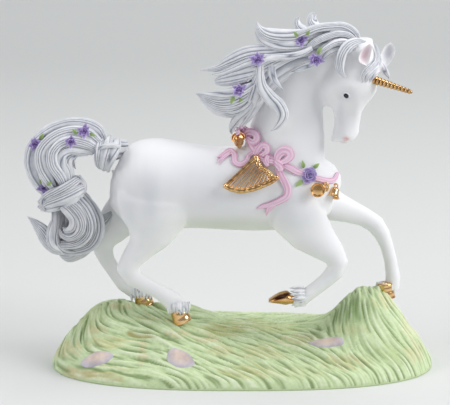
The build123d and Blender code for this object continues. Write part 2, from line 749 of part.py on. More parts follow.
def make_ribbons():
    """Ribbon tied at the withers, draped to the chest, with loose tails and bows."""
    loop = 2.2 * ribbon_width
    make_loops("ribbon_bow_withers", (0.62, 0.6), [(60, loop, 0.7 * loop), (-55, loop, 0.7 * loop)],
               "mane_crest", "mane_lock_withers")
    make_loops("ribbon_bow_side", (0.738, 0.34), [(-20, loop, 0.8 * loop), (75, loop, 0.6 * loop)])
    make_ribbon_run("ribbon_swag", ribbon_shares["ribbon_swag"], "ribbon_bow_withers", "ribbon_bow_side")
    make_ribbon_run("ribbon_breast", ribbon_shares["ribbon_breast"], "ribbon_swag")
    make_ribbon_run("ribbon_tail_back", ribbon_shares["ribbon_tail_back"], "ribbon_swag", "ribbon_bow_withers")
    make_ribbon_run("ribbon_tail_low", ribbon_shares["ribbon_tail_low"], "ribbon_swag", "ribbon_bow_side")


# Harp corners and curves on the near side, as the ribbon routes are
harp_places_share = {"apex": (0.631, 0.36), "back": (0.5, 0.1), "front": (0.723, 0.17)}


def tube(points, radius, sides=8):
    """A round bar along points."""
    return limb([(point, radius, radius, radius) for point in points], steps=1, points=sides)


def make_harp():
    """Small gilt harp: pillar, wavy neck, curved sound box and strings between them."""
    body = [pieces["torso"], pieces["neck"]]
    corners = {}
    for key, place in harp_places_share.items():
        spot, normal = land(body, girth_point(*place), Y_SIDE)
        corners[key] = spot - Y_SIDE * (0.9 * harp_bar + ribbon_thickness)
    apex, back, front = corners["apex"], corners["back"], corners["front"]
    size = harp_height / (apex - back).length
    middle = (apex + back + front) * (1 / 3)
    apex, back, front = [middle + (corner - middle) * size for corner in (apex, back, front)]
    outward = ((back + front) * 0.5 - apex).normalized()
    box, neck = [], []
    for i in range(7):
        t = i / 6
        box.append(back + (front - back) * t + outward * (0.17 * harp_height * math.sin(math.pi * t)))
        wave = 0.09 * harp_height * math.sin(math.pi * t) + 0.05 * harp_height * math.sin(2 * math.pi * t)
        neck.append(apex + (front - apex) * t + (back - apex).normalized() * wave)
    frame = tube([back, (back + apex) * 0.5, apex], harp_bar / 2)
    frame = frame + tube(box, 0.6 * harp_bar) + tube(neck, 0.5 * harp_bar)
    for corner in (apex, back, front):
        frame = frame + Sphere(0.68 * harp_bar).moved(Location(corner))
    settle("harp_frame", largest(frame), "torso", "neck", "ribbon_swag", "ribbon_tail_back",
           "ribbon_tail_low", "ribbon_bow_side")
    strings = []
    for i in range(harp_strings):
        t = 0.84 * (i + 0.9) / harp_strings
        low = along_path(box, t)
        high = along_path(neck, t)
        string = Solid.make_cylinder(harp_string_diameter / 2, (high - low).length, Plane(origin=low, z_dir=high - low))
        strings.append(string)
    settle("harp_strings", Compound(children=strings), "harp_frame")


def make_bell(name, crown, heading, *carriers):
    """Hollow bell with a flared lip, turned on its axis; crown is its top."""
    r = bell_diameter / 2
    h = bell_diameter * 0.85
    outer = [(0, 0), (0.45 * r, 0.03 * h), (0.66 * r, 0.3 * h), (0.74 * r, 0.7 * h), (r, h)]
    inner = [(r - bell_wall, h), (0.74 * r - bell_wall, 0.7 * h), (0.6 * r - bell_wall, 0.35 * h), (0, 0.35 * h)]
    outline = [Vector(x, 0, z) for x, z in outer + inner]
    bell = Solid.revolve(Face(Wire.make_polygon(outline, close=True)), 360, Axis.Z)
    settle(name, Plane(origin=crown, z_dir=heading).location * bell, *carriers)


def make_bells():
    """Three small bells hung on the ribbon."""
    body = [pieces[name] for name in ("torso", "neck", "foreleg_near", "ribbon_breast")]
    spot, normal = land(body, girth_point(0.575, 0.38), Y_SIDE)
    make_bell("bell_withers", spot - normal * seat_depth, Vector(-0.35, -0.8, 0.35), "torso", "neck",
              "mane_crest", "mane_lock_withers", "ribbon_bow_withers", "ribbon_tail_back", "ribbon_swag")
    spot, normal = land(body, girth_point(0.925, 0.07), Y_SIDE)
    make_bell("bell_chest_near", spot - normal * seat_depth, Vector(-0.25, -1, -0.15), "torso", "neck",
              "ribbon_breast", "foreleg_near")
    spot, normal = land(body, girth_point(0.97, 0.12), Y_SIDE)
    make_bell("bell_chest_front", spot - normal * seat_depth, Vector(0.5, -0.3, -0.8), "torso", "neck",
              "ribbon_breast", "bell_chest_near", "foreleg_far", "foreleg_near")


# Smooth stones in the turf: shares of base length and width, half spans as shares of base width
stone_shares = [(-0.375, -0.3, 0.09, 0.05), (-0.16, -0.34, 0.085, 0.06), (0.235, -0.11, 0.135, 0.045)]


def make_stones():
    """Flat stones showing through the turf at the front."""
    for i, (along, aside, half_long, half_wide) in enumerate(stone_shares):
        x = along * base_length
        y = aside * base_width
        half_long = half_long * base_width
        half_wide = half_wide * base_width
        stations = []
        for place, swell in ((-1, 0.2), (-0.7, 0.75), (0, 1), (0.7, 0.75), (1, 0.2)):
            at = x + place * half_long
            centre = Vector(at, y, turf_height(at, y) - 0.25 * stone_thickness)
            half = 0.5 * swell * stone_thickness
            stations.append((centre, swell * half_wide, half, half))
        settle(f"stone_{i + 1}", limb(stations, steps=1), "ground_base")


def make_chest_rose():
    """The large rose where the ribbon crosses the shoulder."""
    carriers = ["torso", "neck", "ribbon_swag", "ribbon_breast"]
    leaves = make_flower("chest_rose", girth_point(0.85, 0.2), carriers, rose_diameter, rose_form,
                         (-15, 115, -150))
    settle("chest_leaves", Compound(children=leaves), "chest_rose", *carriers)


make_base()
make_stones()
make_torso()
make_neck()
make_head()
make_ears()
make_horn()
make_legs()
make_tail()
make_mane()
make_forelocks()
make_flowers()
make_ribbons()
make_harp()
make_chest_rose()
make_bells()


os.makedirs("parts", exist_ok=True)
for name, piece in pieces.items():
    export_step(piece, f"parts/{name}.step")
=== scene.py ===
"""Porcelain unicorn figurine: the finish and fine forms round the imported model."""
import math

import bpy
import numpy as np
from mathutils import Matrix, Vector
from mathutils.bvhtree import BVHTree


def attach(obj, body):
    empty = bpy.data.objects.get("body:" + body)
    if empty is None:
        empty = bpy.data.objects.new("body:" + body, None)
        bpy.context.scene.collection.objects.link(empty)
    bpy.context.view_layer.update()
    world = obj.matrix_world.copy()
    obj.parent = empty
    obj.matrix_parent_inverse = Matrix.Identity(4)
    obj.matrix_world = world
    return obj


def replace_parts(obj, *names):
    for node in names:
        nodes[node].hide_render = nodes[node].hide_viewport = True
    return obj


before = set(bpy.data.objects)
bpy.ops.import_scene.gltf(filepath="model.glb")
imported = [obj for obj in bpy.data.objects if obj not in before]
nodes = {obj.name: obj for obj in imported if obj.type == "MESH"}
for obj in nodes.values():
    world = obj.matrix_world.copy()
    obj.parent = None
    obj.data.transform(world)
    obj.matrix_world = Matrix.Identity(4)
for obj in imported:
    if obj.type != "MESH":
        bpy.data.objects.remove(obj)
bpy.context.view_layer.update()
MM = 0.001
TINY = 1e-12

# Sizes in millimetres, as the castings have them
base_length = 218
base_width = 98
base_squareness = 2.5
rim_height = 5
meadow_height = 17
meadow_slope_share = 0.25
skin_voxel = 0.85


def srgb(red, green, blue):
    """A colour given as it looks, 0 to 255, as linear light with alpha."""
    channels = np.array([red, green, blue]) / 255
    linear = np.where(channels <= 0.04045, channels / 12.92, ((channels + 0.055) / 1.055) ** 2.4)
    return (*[float(value) for value in linear], 1.0)


def tint(red, green, blue):
    """The same colour as three channels for vertex paint."""
    return np.array(srgb(red, green, blue)[:3])


# Meshes


def unit(vectors):
    """Vectors made one long."""
    vectors = np.asarray(vectors, float)
    return vectors / (np.linalg.norm(vectors, axis=-1, keepdims=True) + TINY)


def turns(columns):
    """Angles once round a section."""
    return np.linspace(0, 2 * math.pi, columns, endpoint=False)


def finished(piece, paint, material, replaced):
    """Gives a piece its paint, smooth shading, material and body, and the nodes it stands for."""
    mesh = piece.data
    layer = mesh.attributes.new("paint", "FLOAT_COLOR", "POINT")
    layer.data.foreach_set("color", np.c_[paint, np.ones(len(paint))].ravel().astype(np.float32))
    mesh.polygons.foreach_set("use_smooth", [True] * len(mesh.polygons))
    mesh.materials.append(material)
    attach(piece, "root")
    if replaced:
        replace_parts(piece, *replaced)


def mesh_piece(name, parts, material, slot, *replaced):
    """One piece from parts, each of them points in millimetres, faces and paint."""
    points, faces, start = [], [], 0
    for part_points, part_faces, _ in parts:
        points.append(part_points)
        faces += [[int(index) + start for index in face] for face in part_faces]
        start += len(part_points)
    mesh = bpy.data.meshes.new(name)
    mesh.from_pydata((np.vstack(points) * MM).tolist(), [], faces)
    mesh.validate()
    piece = bpy.data.objects.new(name, mesh)
    bpy.context.scene.collection.objects.link(piece)
    finished(piece, np.vstack([paint for _, _, paint in parts]), material, replaced)
    return piece


def grid_faces(rows, columns, closed=True):
    """Quads of a grid whose columns run round a closed section, or side by side if it is open."""
    row = np.arange(rows - 1)[:, None]
    column = np.arange(columns if closed else columns - 1)[None, :]
    after = (column + 1) % columns
    quads = np.stack([
        row * columns + column, row * columns + after,
        (row + 1) * columns + after, (row + 1) * columns + column], axis=-1)
    return quads.reshape(-1, 4)


def capped(grid):
    """Points and faces of a closed tube from a (rows, columns, 3) grid, with a pole at each end."""
    rows, columns, _ = grid.shape
    points = np.vstack([grid.reshape(-1, 3), grid[0].mean(0), grid[-1].mean(0)])
    faces = grid_faces(rows, columns).tolist()
    first, last = rows * columns, rows * columns + 1
    for j in range(columns):
        after = (j + 1) % columns
        faces.append((first, after, j))
        faces.append((last, (rows - 1) * columns + j, (rows - 1) * columns + after))
    return points, faces


def swept(path, side, rise, across, high):
    """A closed tube: at each place of a path, a section of distances across its side and up its rise."""
    return capped(path[:, None] + across[..., None] * side[:, None] + high[..., None] * rise[:, None])


def polar(paint):
    """A grid's paint as rows, with the paint of the two poles that close it."""
    paint = paint.reshape(-1, 3)
    return np.vstack([paint, paint[:1], paint[-1:]])


def smooth_path(points, count):
    """Catmull-Rom curve through given rows of numbers, sampled evenly by row."""
    rows = np.asarray(points, float)
    padded = np.vstack([2 * rows[0] - rows[1], rows, 2 * rows[-1] - rows[-2]])
    place = np.linspace(0, len(rows) - 1, count)
    i = np.minimum(place.astype(int), len(rows) - 2)
    t = (place - i)[:, None]
    a, b, c, d = padded[i], padded[i + 1], padded[i + 2], padded[i + 3]
    bend = (2 * a - 5 * b + 4 * c - d) * t ** 2
    return 0.5 * (2 * b + (c - a) * t + bend + (3 * b - a - 3 * c + d) * t ** 3)


def edited(piece, operator, **settings):
    """Runs an edit operator over the whole of a mesh."""
    bpy.ops.object.select_all(action="DESELECT")
    bpy.context.view_layer.objects.active = piece
    piece.select_set(True)
    bpy.ops.object.mode_set(mode="EDIT")
    bpy.ops.mesh.select_all(action="SELECT")
    operator(**settings)
    bpy.ops.object.mode_set(mode="OBJECT")
    piece.select_set(False)


def shell_piece(name, parts, material, slot, *replaced):
    """One piece from its parts, with its faces turned outwards."""
    piece = mesh_piece(name, parts, material, slot, *replaced)
    edited(piece, bpy.ops.mesh.normals_make_consistent, inside=False)


# Materials


class Shader:
    """A principled material built node by node."""

    def __init__(self, name, roughness, **settings):
        self.material = bpy.data.materials.new(name)
        self.material.use_nodes = True
        self.tree = self.material.node_tree
        self.body = self.tree.nodes["Principled BSDF"]
        self.body.inputs["Roughness"].default_value = roughness
        for key, value in settings.items():
            self.body.inputs[key.replace("_", " ")].default_value = value

    def feed(self, socket, value):
        """Links another node's output into a socket, or sets its value."""
        if isinstance(value, bpy.types.NodeSocket):
            self.tree.links.new(value, socket)
        else:
            socket.default_value = value

    def add(self, kind, inputs, **properties):
        """A node with its properties and inputs."""
        node = self.tree.nodes.new("ShaderNode" + kind)
        for key, value in properties.items():
            setattr(node, key, value)
        for key, value in inputs.items():
            self.feed(node.inputs[key], value)
        return node

    def paint(self):
        """The vertex paint's colour."""
        return self.add("Attribute", {}, attribute_name="paint").outputs["Color"]

    def noise(self, scale, detail=3.0, roughness=0.5):
        """Noise whose features are about one part in scale of a metre."""
        place = self.add("TexCoord", {}).outputs["Object"]
        inputs = {"Vector": place, "Scale": scale, "Detail": detail, "Roughness": roughness}
        return self.add("TexNoise", inputs).outputs["Fac"]

    def ramp(self, value, *stops):
        """Colours over a value, from (place, colour) stops."""
        node = self.add("ValToRGB", {"Fac": value})
        elements = node.color_ramp.elements
        while len(elements) < len(stops):
            elements.new(0.5)
        for element, (place, colour) in zip(elements, stops):
            element.position = place
            element.color = srgb(*colour)
        return node.outputs["Color"]

    def mix(self, amount, first, second, kind="MIX"):
        """Blend of two colours."""
        return self.add("Mix", {0: amount, 6: first, 7: second}, data_type="RGBA", blend_type=kind).outputs[2]

    def times(self, first, second):
        """One colour darkened by another."""
        return self.mix(1.0, first, second, kind="MULTIPLY")

    def colour(self, value):
        """The surface colour."""
        self.feed(self.body.inputs["Base Color"], value)

    def rough(self, value, span, low):
        """Roughness that rises from low by span over a value."""
        node = self.add("Math", {0: value, 1: span, 2: low}, operation="MULTIPLY_ADD")
        self.feed(self.body.inputs["Roughness"], node.outputs[0])

    def bump(self, height, depth, strength):
        """Relief of a height value, depth in millimetres."""
        node = self.add("Bump", {"Height": height, "Strength": strength, "Distance": depth * MM})
        self.tree.links.new(node.outputs["Normal"], self.body.inputs["Normal"])


def bisque_material():
    """Matt white porcelain: faint cool mottling and a fine sandy tooth."""
    shader = Shader("white_bisque", 0.55, Specular_IOR_Level=0.35)
    cloud = shader.noise(40, detail=2)
    mottled = shader.ramp(cloud, (0.3, (244, 244, 246)), (0.7, (250, 250, 250)))
    shader.colour(shader.times(mottled, shader.paint()))
    shader.bump(shader.noise(2600, detail=2), 0.03, 0.35)
    shader.rough(cloud, 0.12, 0.5)
    return shader.material


def hair_material():
    """Bisque hair: the wash, with painted shade in the grooves and painted highlights on the ridges, lies in
    the vertex paint, thinned in streaks.
    """
    shader = Shader("washed_and_shaded_hair", 0.6, Specular_IOR_Level=0.3)
    wash = shader.paint()
    soft = shader.ramp(shader.noise(260, detail=4), (0.35, (236, 237, 240)), (0.65, (255, 255, 255)))
    shader.colour(shader.mix(0.7, wash, shader.times(wash, soft)))
    shader.bump(shader.noise(1500, detail=2), 0.04, 0.4)
    return shader.material


def turf_material():
    """Painted grass: the colours lie in the vertex paint, broken up by fine brush streaks."""
    shader = Shader("painted_turf", 0.62, Specular_IOR_Level=0.3)
    fleck = shader.noise(420, detail=5, roughness=0.65)
    light = shader.ramp(fleck, (0.3, (238, 242, 232)), (0.55, (253, 255, 250)), (0.75, (255, 255, 255)))
    shader.colour(shader.times(shader.paint(), light))
    shader.bump(shader.noise(900, detail=4), 0.05, 0.4)
    return shader.material


def stone_material():
    """Smooth painted stone: the vertex paint with a soft mottling over it."""
    shader = Shader("lavender_stone", 0.5)
    mottle = shader.ramp(shader.noise(160, detail=4), (0.35, (224, 220, 226)), (0.65, (255, 255, 255)))
    shader.colour(shader.times(shader.paint(), mottle))
    shader.bump(shader.noise(700), 0.05, 0.4)
    return shader.material


def gold_material():
    """Burnished gilding: warm, slightly uneven and browner where it is thin."""
    shader = Shader("burnished_gold", 0.24, Metallic=1.0)
    thin = shader.noise(160)
    gilt = shader.ramp(thin, (0.3, (214, 162, 104)), (0.5, (230, 184, 126)), (0.75, (246, 212, 160)))
    shader.colour(shader.times(gilt, shader.paint()))
    shader.rough(thin, 0.14, 0.13)
    shader.bump(shader.noise(500, detail=2), 0.03, 0.2)
    return shader.material


def eye_material():
    """Glossy dark glaze."""
    shader = Shader("navy_glaze", 0.12, Specular_IOR_Level=0.6)
    mottle = shader.ramp(shader.noise(900), (0.3, (200, 200, 210)), (0.7, (255, 255, 255)))
    shader.colour(shader.times(shader.paint(), mottle))
    shader.bump(shader.noise(700), 0.01, 0.2)
    return shader.material


def chalky_material(name, roughness, grain, detail, depth, strength):
    """Matt colour that lies in the vertex paint, with a chalky surface."""
    shader = Shader(name, roughness)
    shader.colour(shader.paint())
    shader.bump(shader.noise(grain, detail=detail), depth, strength)
    return shader.material


BISQUE = bisque_material()
HAIR = hair_material()
TURF = turf_material()
STONE = stone_material()
GOLD = gold_material()
EYE = eye_material()
PETALS = chalky_material("violet_petals", 0.6, 1300, 3, 0.05, 0.5)
LEAVES = chalky_material("green_leaves", 0.55, 1100, 3, 0.05, 0.5)
RIBBON = chalky_material("pink_ribbon", 0.52, 900, 2, 0.04, 0.4)


# Stage

camera_distance_mm = 1100
camera_target_mm = np.array([-9.8, 0.0, 95.0])
camera_lift = math.radians(15)
lift_cos, lift_sin = math.cos(camera_lift), math.sin(camera_lift)
camera_lens = 155.75
sensor_width = 36
# The paper sweep, in metres
sweep_half_width = 3.0
sweep_front = -2.6
sweep_bend = 0.9
sweep_radius = 0.8
sweep_top = 3.2
# Softboxes: place in metres, side and power
lamp_aim = Vector((0, 0, 0.1))
lamp_table = {
    "softbox_left": ((-1.25, -0.45, 1.0), 0.9, 7.5),
    "softbox_right": ((1.3, -0.4, 0.9), 0.8, 14),
    "softbox_top": ((0.1, 0.15, 1.5), 0.9, 8),
}
room_colour = (0.9, 0.93, 1.0, 1)
room_strength = 0.34


def make_camera():
    """Long lens a little above level, straight at the near side."""
    data = bpy.data.cameras.new("studio_camera")
    data.lens = camera_lens
    data.sensor_width = sensor_width
    data.sensor_fit = "HORIZONTAL"
    data.clip_end = 20
    camera = bpy.data.objects.new("studio_camera", data)
    away = Vector((0, -lift_cos, lift_sin))
    camera.location = Vector(camera_target_mm * MM) + away * camera_distance_mm * MM
    camera.rotation_euler = (math.pi / 2 - camera_lift, 0, 0)
    bpy.context.scene.collection.objects.link(camera)
    bpy.context.scene.camera = camera


def make_sweep():
    """Pale paper floor that bends up into the backdrop: a straight run, an arc and a straight rise."""
    bend = np.linspace(0, math.pi / 2, 24)
    wall = sweep_bend + sweep_radius
    depth = np.concatenate([[sweep_front], sweep_bend + sweep_radius * np.sin(bend), [wall]])
    height = np.concatenate([[0.0], sweep_radius * (1 - np.cos(bend)), [sweep_top]])
    across = np.array([-sweep_half_width, sweep_half_width])
    points = np.stack(np.broadcast_arrays(across[None, :], depth[:, None], height[:, None]), axis=-1)
    mesh = bpy.data.meshes.new("paper_sweep")
    mesh.from_pydata(points.reshape(-1, 3).tolist(), [], grid_faces(len(depth), 2, closed=False).tolist())
    mesh.polygons.foreach_set("use_smooth", [True] * len(mesh.polygons))
    sweep = bpy.data.objects.new("paper_sweep", mesh)
    bpy.context.scene.collection.objects.link(sweep)
    shader = Shader("pale_paper", 0.9, Specular_IOR_Level=0.1)
    shader.colour(srgb(226, 227, 225))
    shader.bump(shader.noise(500, detail=2), 0.05, 0.1)
    mesh.materials.append(shader.material)


def make_light():
    """Soft studio light: square softboxes left, right and overhead, and a grey room."""
    for name, (place, side, power) in lamp_table.items():
        data = bpy.data.lights.new(name, "AREA")
        data.shape = "SQUARE"
        data.size = side
        data.energy = power
        lamp = bpy.data.objects.new(name, data)
        lamp.location = place
        lamp.rotation_euler = (lamp_aim - Vector(place)).to_track_quat("-Z", "Y").to_euler()
        bpy.context.scene.collection.objects.link(lamp)
    world = bpy.data.worlds.new("grey_room")
    world.use_nodes = True
    backdrop = world.node_tree.nodes["Background"]
    backdrop.inputs["Color"].default_value = room_colour
    backdrop.inputs["Strength"].default_value = room_strength
    bpy.context.scene.world = world
    bpy.context.scene.view_settings.view_transform = "Standard"


make_camera()
make_sweep()
make_light()


# Places read off the camera's picture, 450 by 405 points

picture_width = 450
picture_centre = np.array([225.0, 202.5])
focal_pixels = camera_lens / sensor_width * picture_width
camera_mm = camera_target_mm + camera_distance_mm * np.array([0.0, -lift_cos, lift_sin])
# Millimetres to a picture point at the figurine's middle, across and up
point_mm = 0.565
point_rise_mm = 0.585


def picture_of(points):
    """Picture places of points in millimetres."""
    away = np.asarray(points, float) - camera_mm
    depth = away[..., 1] * lift_cos - away[..., 2] * lift_sin
    rise = away[..., 2] * lift_cos + away[..., 1] * lift_sin
    across, down = focal_pixels * away[..., 0] / depth, focal_pixels * rise / depth
    return picture_centre[0] + across, picture_centre[1] - down


def apart(across, down, spot, reach):
    """Squared distance from a spot, in shares of a reach across and down."""
    return ((across - spot[0]) / reach[0]) ** 2 + ((down - spot[1]) / reach[1]) ** 2


def sight(spots):
    """Directions from the camera through spots of its picture."""
    right = (spots[:, 0] - picture_centre[0]) / focal_pixels
    up = (picture_centre[1] - spots[:, 1]) / focal_pixels
    return np.stack([right, lift_cos + up * lift_sin, up * lift_cos - lift_sin], axis=1)


def seen(spots, depth):
    """Places in millimetres of picture spots that lie at the given depths (Y)."""
    heading = sight(np.asarray(spots, float))
    reach = (np.asarray(depth, float) - camera_mm[1]) / heading[:, 1]
    return camera_mm + heading * reach[:, None]


def cast(heading, tree):
    """Where the camera's line of sight meets a surface, in metres, and the normal there."""
    return tree.ray_cast(Vector(camera_mm * MM), Vector(heading), 3.0)[:2]


# White body skin

body_nodes = ["torso", "neck", "head", "foreleg_near", "foreleg_far", "hindleg_near", "hindleg_far"]
merge_distance = 0.00001
# Muscle and bone under the skin: centre, reach and rise in millimetres
body_swells = [
    ((-48, -20, 112), (16, 8, 13), 1.3), ((-58, -18, 96), (10, 8, 16), 0.9),
    ((-33, -18, 92), (7, 9, 12), -0.8), ((30, -20, 98), (11, 8, 13), 1.2),
    ((46, -16, 92), (7, 8, 9), 0.8), ((14, -19, 92), (5, 9, 12), -0.9),
    ((40, -12, 116), (9, 9, 9), 0.7), ((-2, -20, 96), (12, 9, 12), 0.5),
    ((-48, 20, 112), (16, 8, 13), 1.3), ((30, 20, 98), (11, 8, 13), 1.2),
    ((52, -9, 62), (4, 5, 4), 0.5), ((-64, -12, 63), (4, 5, 5), 0.5),
]
# The head's outline in the picture: level, then the modelled left and right edges
head_rows = np.array([
    (36, 350, 372), (44, 340, 373.5), (52, 330, 375.6), (62, 325, 377), (74, 322, 377.6),
    (83.5, 322.4, 377.6), (92, 324.6, 376.2), (97.5, 326.4, 372.8), (102.9, 329, 368.4),
    (107.7, 331.5, 365.0), (112.6, 333.6, 362.3), (118.3, 334.2, 360.3), (124.6, 334.0, 359),
    (129, 333.1, 358.8), (134.4, 332.3, 358.2), (139.2, 334.3, 354.5), (142.8, 340, 348),
])
head_levels = np.arange(34.0, 144.0, 1.5)
# The muzzle is drawn up towards this level
muzzle_start = 95
muzzle_shrink = 0.896
# Where the neck ends and the head begins, in picture points: above the throat, below it and at the lips
throat_level = 98
poll_edge = 340
throat_edge = 323.8
chin_level = 138
neck_end = 318
head_end = 390
head_top = 30
head_bottom = 152
widest_shift = 14
# Small shifts of the outline elsewhere: picture place, reach and shift in picture points
outline_shifts = [((111, 167), (8, 7), (-5, 0)), ((105, 191), (10, 13), (5, 0))]
# Modelling of the face: picture place, reach in picture points, rise in millimetres
face_forms = [
    ((334, 88), (9, 11), 1.3), ((343, 108), (5, 11), -0.8), ((350, 86), (8, 4), 0.8),
    ((346.3, 95.7), (5, 4.5), -0.7), ((357, 112), (3.5, 16), 0.7), ((346, 136.5), (4, 3.4), 0.9),
    ((352.5, 139), (3, 3), 0.4), ((339, 128), (3, 8), -0.4), ((337, 139), (3, 3), 0.5),
    ((367, 68), (6, 9), 0.5), ((329, 104), (3, 8), 0.5),
]
# Where the drawn head is eased into the neck: picture place, reach and rounds
easing_spot = (342, 90)
easing_reach = (44, 66)
easing_rounds = 8
easing_strength = 0.6
# Paint over the skin: picture place, reach, colour and strength. The rosy nostril and lips are the skin's own
# colour; the greys at the eye, jaw, flank, neck, chest and far thigh are painted shade, and the pale green
# under the belly is a painted green bounce light
skin_tints_shade_and_bounce = [
    ((346.2, 138.8), (2.8, 2.2), (236, 172, 172), 0.7), ((343.0, 142.6), (5.0, 1.0), (222, 196, 196), 0.4),
    ((346.3, 95.7), (6.5, 5.5), (206, 208, 218), 0.4), ((341, 112), (4.0, 14.0), (206, 208, 214), 0.3),
    ((150, 200), (8, 26), (206, 210, 220), 0.35), ((215, 185), (70, 30), (232, 233, 238), 0.6),
    ((310, 115), (14, 40), (226, 227, 232), 0.6), ((228, 224), (60, 7), (214, 218, 200), 0.4),
    ((300, 214), (20, 12), (208, 212, 218), 0.3), ((128, 215), (8, 22), (214, 218, 226), 0.25),
]
near_side = 2


def corners_of(piece):
    """Vertex places in millimetres."""
    places = np.zeros(len(piece.data.vertices) * 3)
    piece.data.vertices.foreach_get("co", places)
    return places.reshape(-1, 3) / MM


def normals_of(piece):
    """Vertex normals."""
    normals = np.zeros(len(piece.data.vertices) * 3)
    piece.data.vertices.foreach_get("normal", normals)
    return normals.reshape(-1, 3)


def stacked(pieces):
    """Corners in metres and faces of several pieces, as one list each."""
    points, faces, start = [], [], 0
    for piece in pieces:
        points.append(corners_of(piece) * MM)
        faces += [[index + start for index in face.vertices] for face in piece.data.polygons]
        start += len(piece.data.vertices)
    return np.vstack(points).tolist(), faces


def merged_copy(name, sources):
    """One mesh from copies of CAD nodes, with their doubled corners merged."""
    points, faces = stacked(sources)
    mesh = bpy.data.meshes.new(name)
    mesh.from_pydata(points, [], faces)
    piece = bpy.data.objects.new(name, mesh)
    bpy.context.scene.collection.objects.link(piece)
    edited(piece, bpy.ops.mesh.remove_doubles, threshold=merge_distance)
    return piece


def apply_modifier(piece, kind, **settings):
    """Adds a modifier and applies it."""
    modifier = piece.modifiers.new(kind.lower(), kind)
    for key, value in settings.items():
        setattr(modifier, key, value)
    graph = bpy.context.evaluated_depsgraph_get()
    baked = bpy.data.meshes.new_from_object(piece.evaluated_get(graph))
    piece.modifiers.clear()
    old = piece.data
    piece.data = baked
    bpy.data.meshes.remove(old)


def swell(places, normals, centre, reach, amount):
    """Moves places along their normals by amount, fading with a bell curve over reach in x, y, z."""
    far = np.sum(((places - np.asarray(centre)) / np.asarray(reach)) ** 2, axis=1)
    return places + normals * (amount * np.exp(-far))[:, None]


def head_edges(across, low, head_side):
    """The head's left and right edges as they stand, at each of its levels, lightly smoothed."""
    right, left = np.zeros(len(head_levels)), np.zeros(len(head_levels))
    for k, level in enumerate(head_levels):
        band = across[head_side & (np.abs(low - level) < 1.2)]
        right[k] = band.max() if len(band) else 345
        left[k] = band.min() if len(band) and level > 102 else 322
    kernel = np.array([1, 2, 3, 2, 1]) / 9
    return [np.convolve(np.pad(edge, 2, mode="edge"), kernel, mode="valid") for edge in (left, right)]


def shape_head(places, normals):
    """Draws the head's outline in to its rows, then raises the forms of the face."""
    across, down = picture_of(places)
    low = np.where(down > muzzle_start, muzzle_start + (down - muzzle_start) * muzzle_shrink, down)
    chin = np.clip(0.5 * (down - chin_level), 0, 6)
    edge = np.where(down < throat_level, poll_edge, throat_edge + 0.8 + chin)
    left, right = head_edges(across, low, (across > edge) & (across < head_end))
    now_left, now_right = np.interp(low, head_levels, left), np.interp(low, head_levels, right)
    to_left, to_right = (np.interp(low, head_rows[:, 0], head_rows[:, k]) for k in (1, 2))
    share = np.clip((across - now_left) / np.maximum(now_right - now_left, 8), -0.1, 1.1)
    shift = (to_left - now_left) + (to_right - now_right - to_left + now_left) * share
    shift = np.clip(shift, -widest_shift, widest_shift)
    above_throat = np.clip((across - 328) / 24, 0, 1)
    below_throat = np.clip((across - throat_edge - chin) / 1.5, 0, 1)
    hold = np.where(down < throat_level, above_throat, below_throat)
    hold = hold * (down > head_top) * (down < head_bottom) * (across > neck_end)
    fall = point_rise_mm * (low - down) * hold
    places = places + np.stack([point_mm * shift * hold, 0 * shift, -fall], axis=1)
    across, down = picture_of(places)
    near = np.clip(-places[:, 1] / 3 + 0.6, 0, 1) * (across > neck_end + 4)
    for spot, reach, rise in face_forms:
        places = places + normals * (rise * np.exp(-apart(across, down, spot, reach)) * near)[:, None]
    for spot, reach, (over, lower) in outline_shifts:
        fade = np.exp(-apart(across, down, spot, reach))[:, None]
        places = places + fade * np.array([point_mm * over, 0, -point_rise_mm * lower])
    return places


def eased_near(piece, places, spot, reach):
    """Places averaged with their neighbours near a spot of the picture, which takes out creases."""
    ends = np.zeros(len(piece.data.edges) * 2, int)
    piece.data.edges.foreach_get("vertices", ends)
    first, second = ends[0::2], ends[1::2]
    hold = easing_strength * np.clip(2 * (1 - apart(*picture_of(places), spot, reach)), 0, 1)[:, None]
    count = np.bincount(ends, minlength=len(places))[:, None]
    for _ in range(easing_rounds):
        total = np.zeros_like(places)
        np.add.at(total, first, places[second])
        np.add.at(total, second, places[first])
        places = places * (1 - hold) + total / np.maximum(count, 1) * hold
    return places


def skin_paint(places):
    """Rosy nostril and lips, painted shade in grey over the hollows, flank and neck, and a painted green
    bounce light under the belly.
    """
    across, down = picture_of(places)
    paint = np.ones((len(places), 3))
    for spot, reach, colour, amount in skin_tints_shade_and_bounce:
        blend = (amount * np.exp(-apart(across, down, spot, reach)) * (places[:, 1] < near_side))[:, None]
        paint = paint * (1 - blend) + tint(*colour) * blend
    return paint


def make_skin():
    """Body, neck, head and legs as one cast skin, remeshed, eased at the seams and modelled."""
    skin = merged_copy("bisque_body", [nodes[name] for name in body_nodes])
    apply_modifier(skin, "REMESH", mode="VOXEL", voxel_size=skin_voxel * MM)
    apply_modifier(skin, "SMOOTH", factor=0.5, iterations=9)
    places, normals = corners_of(skin), normals_of(skin)
    for centre, reach, amount in body_swells:
        places = swell(places, normals, centre, reach, amount)
    places = eased_near(skin, shape_head(places, normals), easing_spot, easing_reach)
    skin.data.vertices.foreach_set("co", (places * MM).ravel())
    skin.data.update()
    finished(skin, skin_paint(places), BISQUE, body_nodes)
    return skin


skin = make_skin()
skin_tree = BVHTree.FromPolygons(*stacked([skin]))


# Hair

lock_rows = 84
lock_columns = 132
tuft_rows = 34
tuft_columns = 48
thinnest_half = 0.12
groove_depth = 0.3
strand_drift = 0.5
settle_rows = 13
# Hair paint: wash deepened by painted shade in the grooves, the wash on the flanks, and painted highlight on
# the ridges
groove_wash_and_shade_colour = tint(140, 144, 157)
wash_colour = tint(224, 226, 233)
ridge_highlight_colour = tint(251, 251, 252)


def face_depths(spots, tree):
    """Depth (Y) at which each picture spot meets a surface, or infinity where it misses."""
    hits = [cast(heading, tree)[0] for heading in sight(spots)]
    return np.array([math.inf if hit is None else hit.y / MM for hit in hits])


